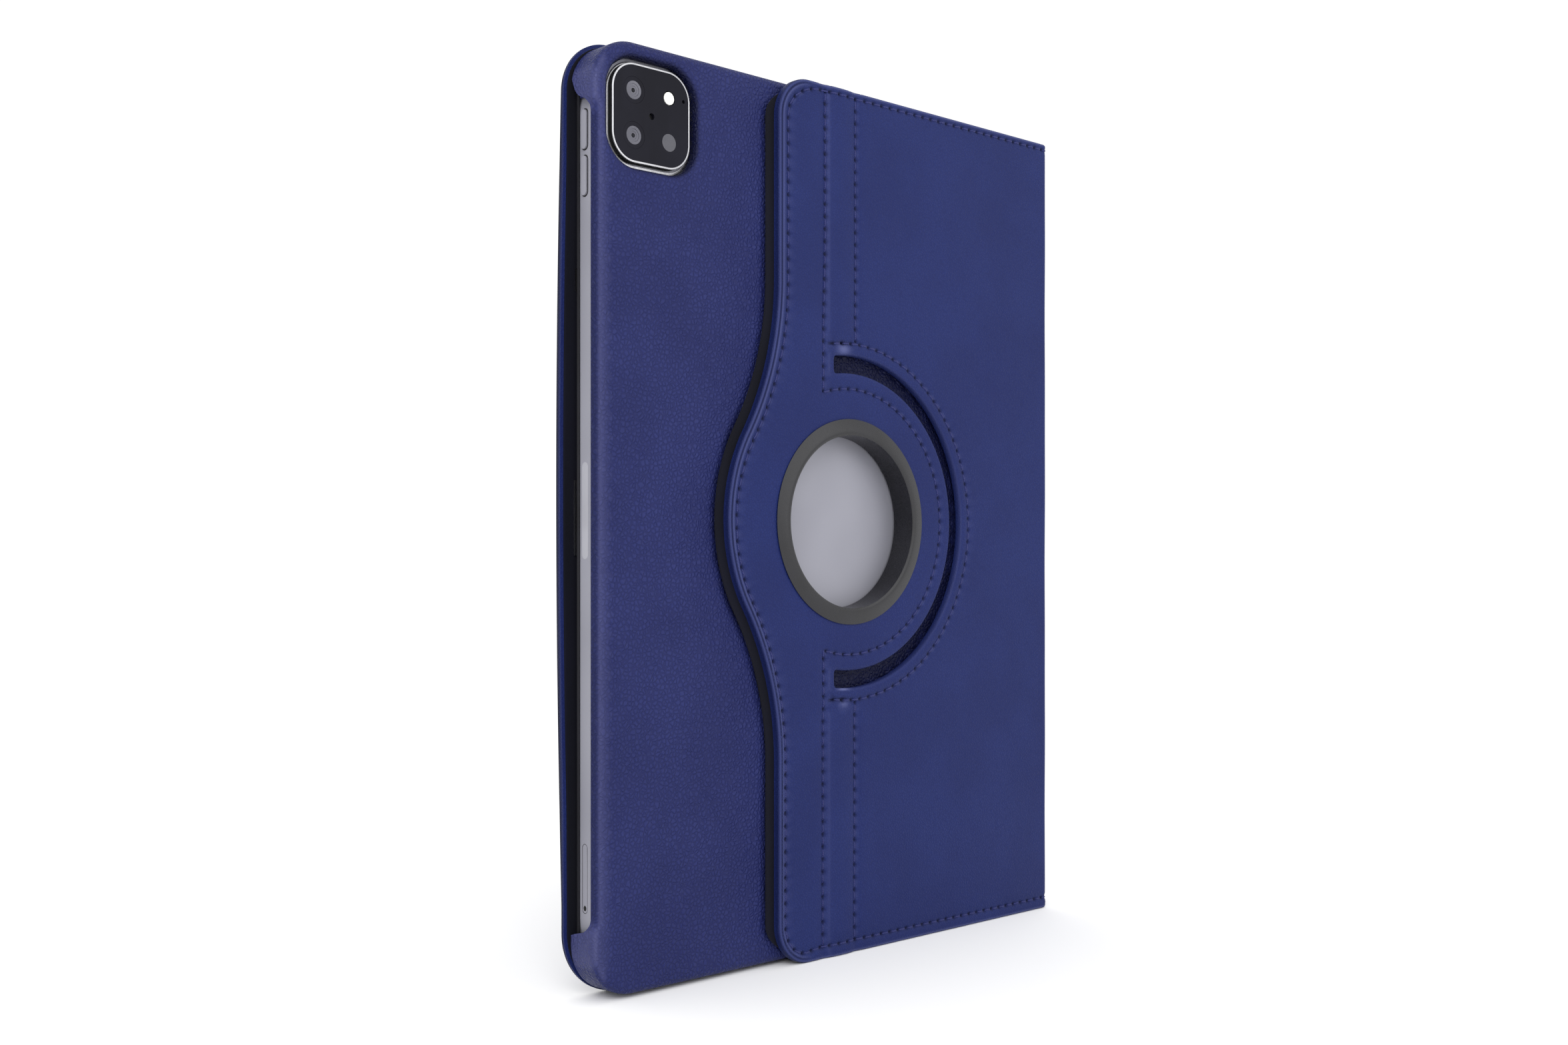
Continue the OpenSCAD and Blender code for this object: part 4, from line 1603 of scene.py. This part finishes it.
# The shell's thin dark lip stays in front of the tablet all along the side window
lip_back, lip_front = LIP_UNDER - 0.9, LIP_UNDER + 0.1
lip_bottom, lip_top = AXIS_Z - 111, AXIS_Z + 113
lip_corners = [(lip_back, lip_bottom), (lip_front, lip_bottom), (lip_front, lip_top), (lip_back, lip_top)]
window_lip = prism(
    "window_lip",
    lip_corners,
    "X",
    SIDE_X - 0.35,
    SIDE_X - 0.02,
)
window_lip.data.materials.append(lip_plastic)
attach(window_lip, "tray")

sim_low, sim_high = box_mm("sim_tray")
pinhole_z = sim_low.z + 1.2
pinhole_loop = [
    (SIDE_Y + 0.6 * math.cos(a), pinhole_z + 0.7 * math.sin(a))
    for a in np.linspace(0, 2 * math.pi, 25)[:-1]
]
# A black disc standing slightly proud of the side, in place of the SIM pinhole: painted shade
pinhole = prism("sim_pinhole", pinhole_loop, "X", SIDE_X - 0.03, SIDE_X + 0.3)
pinhole.data.materials.append(black_paint)
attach(pinhole, "tray")

# ---------------------------------------------------------------- finishes of the CAD nodes that stay

FINISHES = {
    "tablet_housing": aluminium,
    "volume_up_button": aluminium,
    "volume_down_button": aluminium,
    "power_button": aluminium,
    "sim_tray": aluminium,
    "tablet_glass": screen,
    "camera_glass": camera_plate,
    "charging_pad": pad_plastic,
    "usb_socket": steel,
    "cover_magnets": steel,
    "display_panel": black_paint,
    "battery_pack": hidden_plastic,
    "slip_washer": hidden_plastic,
    "ring_retainer": hidden_plastic,
}
for node_name, material in FINISHES.items():
    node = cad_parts[node_name]
    node.data.materials.clear()
    node.data.materials.append(material)
for node_name in ("tablet_housing", "volume_up_button", "volume_down_button", "power_button", "sim_tray"):
    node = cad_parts[node_name]
    modifier = node.modifiers.new("Soft edges", "BEVEL")
    modifier.width = (0.45 if node_name == "tablet_housing" else 0.3) * MM
    modifier.segments = 3
    modifier.limit_method = "ANGLE"
    modifier.angle_limit = math.radians(60)

# ---------------------------------------------------------------- studio


SURROUND_STRENGTH = 1.06
FLOOR_REACH = 20000
CAMERA_PLACE = Vector((-344.9, BACK_Y - 340.1, AXIS_Z - 10.6))
CAMERA_TURN = 43.03
CAMERA_LENS = 37.63
CAMERA_SHIFT = 0.0225


def studio():
    """A pale floor, an even white surround and soft lights."""
    world = bpy.data.worlds.new("Studio")
    bpy.context.scene.world = world
    world.use_nodes = True
    world.node_tree.nodes["Background"].inputs["Color"].default_value = (1, 1, 1, 1)
    world.node_tree.nodes["Background"].inputs["Strength"].default_value = SURROUND_STRENGTH
    reach = FLOOR_REACH
    corners = [(-reach, -reach, 0), (reach, -reach, 0), (reach, reach, 0), (-reach, reach, 0)]
    floor = make_object("floor", corners, [(0, 1, 2, 3)], None)
    paper = Surface("Paper", (0.95, 0.95, 0.95), 0.9, specular=0.1)
    paper.colour(paper.blended(paper.noise(300), (0.97, 0.97, 0.97), (0.98, 0.98, 0.98)))
    floor.data.materials.append(paper.material)
    for name, place, size, power in (
        ("key_light", (-900, -900, 900), 900, 9),
        ("fill_light", (500, -1100, 500), 900, 2),
    ):
        light = bpy.data.lights.new(name, "AREA")
        light.shape = "DISK"
        light.size = size * MM
        light.energy = power
        lamp = bpy.data.objects.new(name, light)
        lamp.location = Vector(place) * MM
        aim = Vector((0, 0, AXIS_Z)) - Vector(place)
        lamp.rotation_mode = "QUATERNION"
        lamp.rotation_quaternion = aim.to_track_quat("-Z", "Y")
        bpy.context.scene.collection.objects.link(lamp)


def camera():
    """The camera stands level, left of the back's middle."""
    data = bpy.data.cameras.new("camera")
    made = bpy.data.objects.new("camera", data)
    made.location = CAMERA_PLACE * MM
    turn = math.radians(CAMERA_TURN)
    made.rotation_mode = "QUATERNION"
    made.rotation_quaternion = Vector((math.sin(turn), math.cos(turn), 0)).to_track_quat("-Z", "Y")
    data.sensor_width = 36
    data.lens = CAMERA_LENS
    data.shift_y = CAMERA_SHIFT
    data.clip_start = 0.01
    bpy.context.scene.collection.objects.link(made)
    bpy.context.scene.camera = made


studio()
camera()
bpy.context.scene.view_settings.view_transform = "Standard"
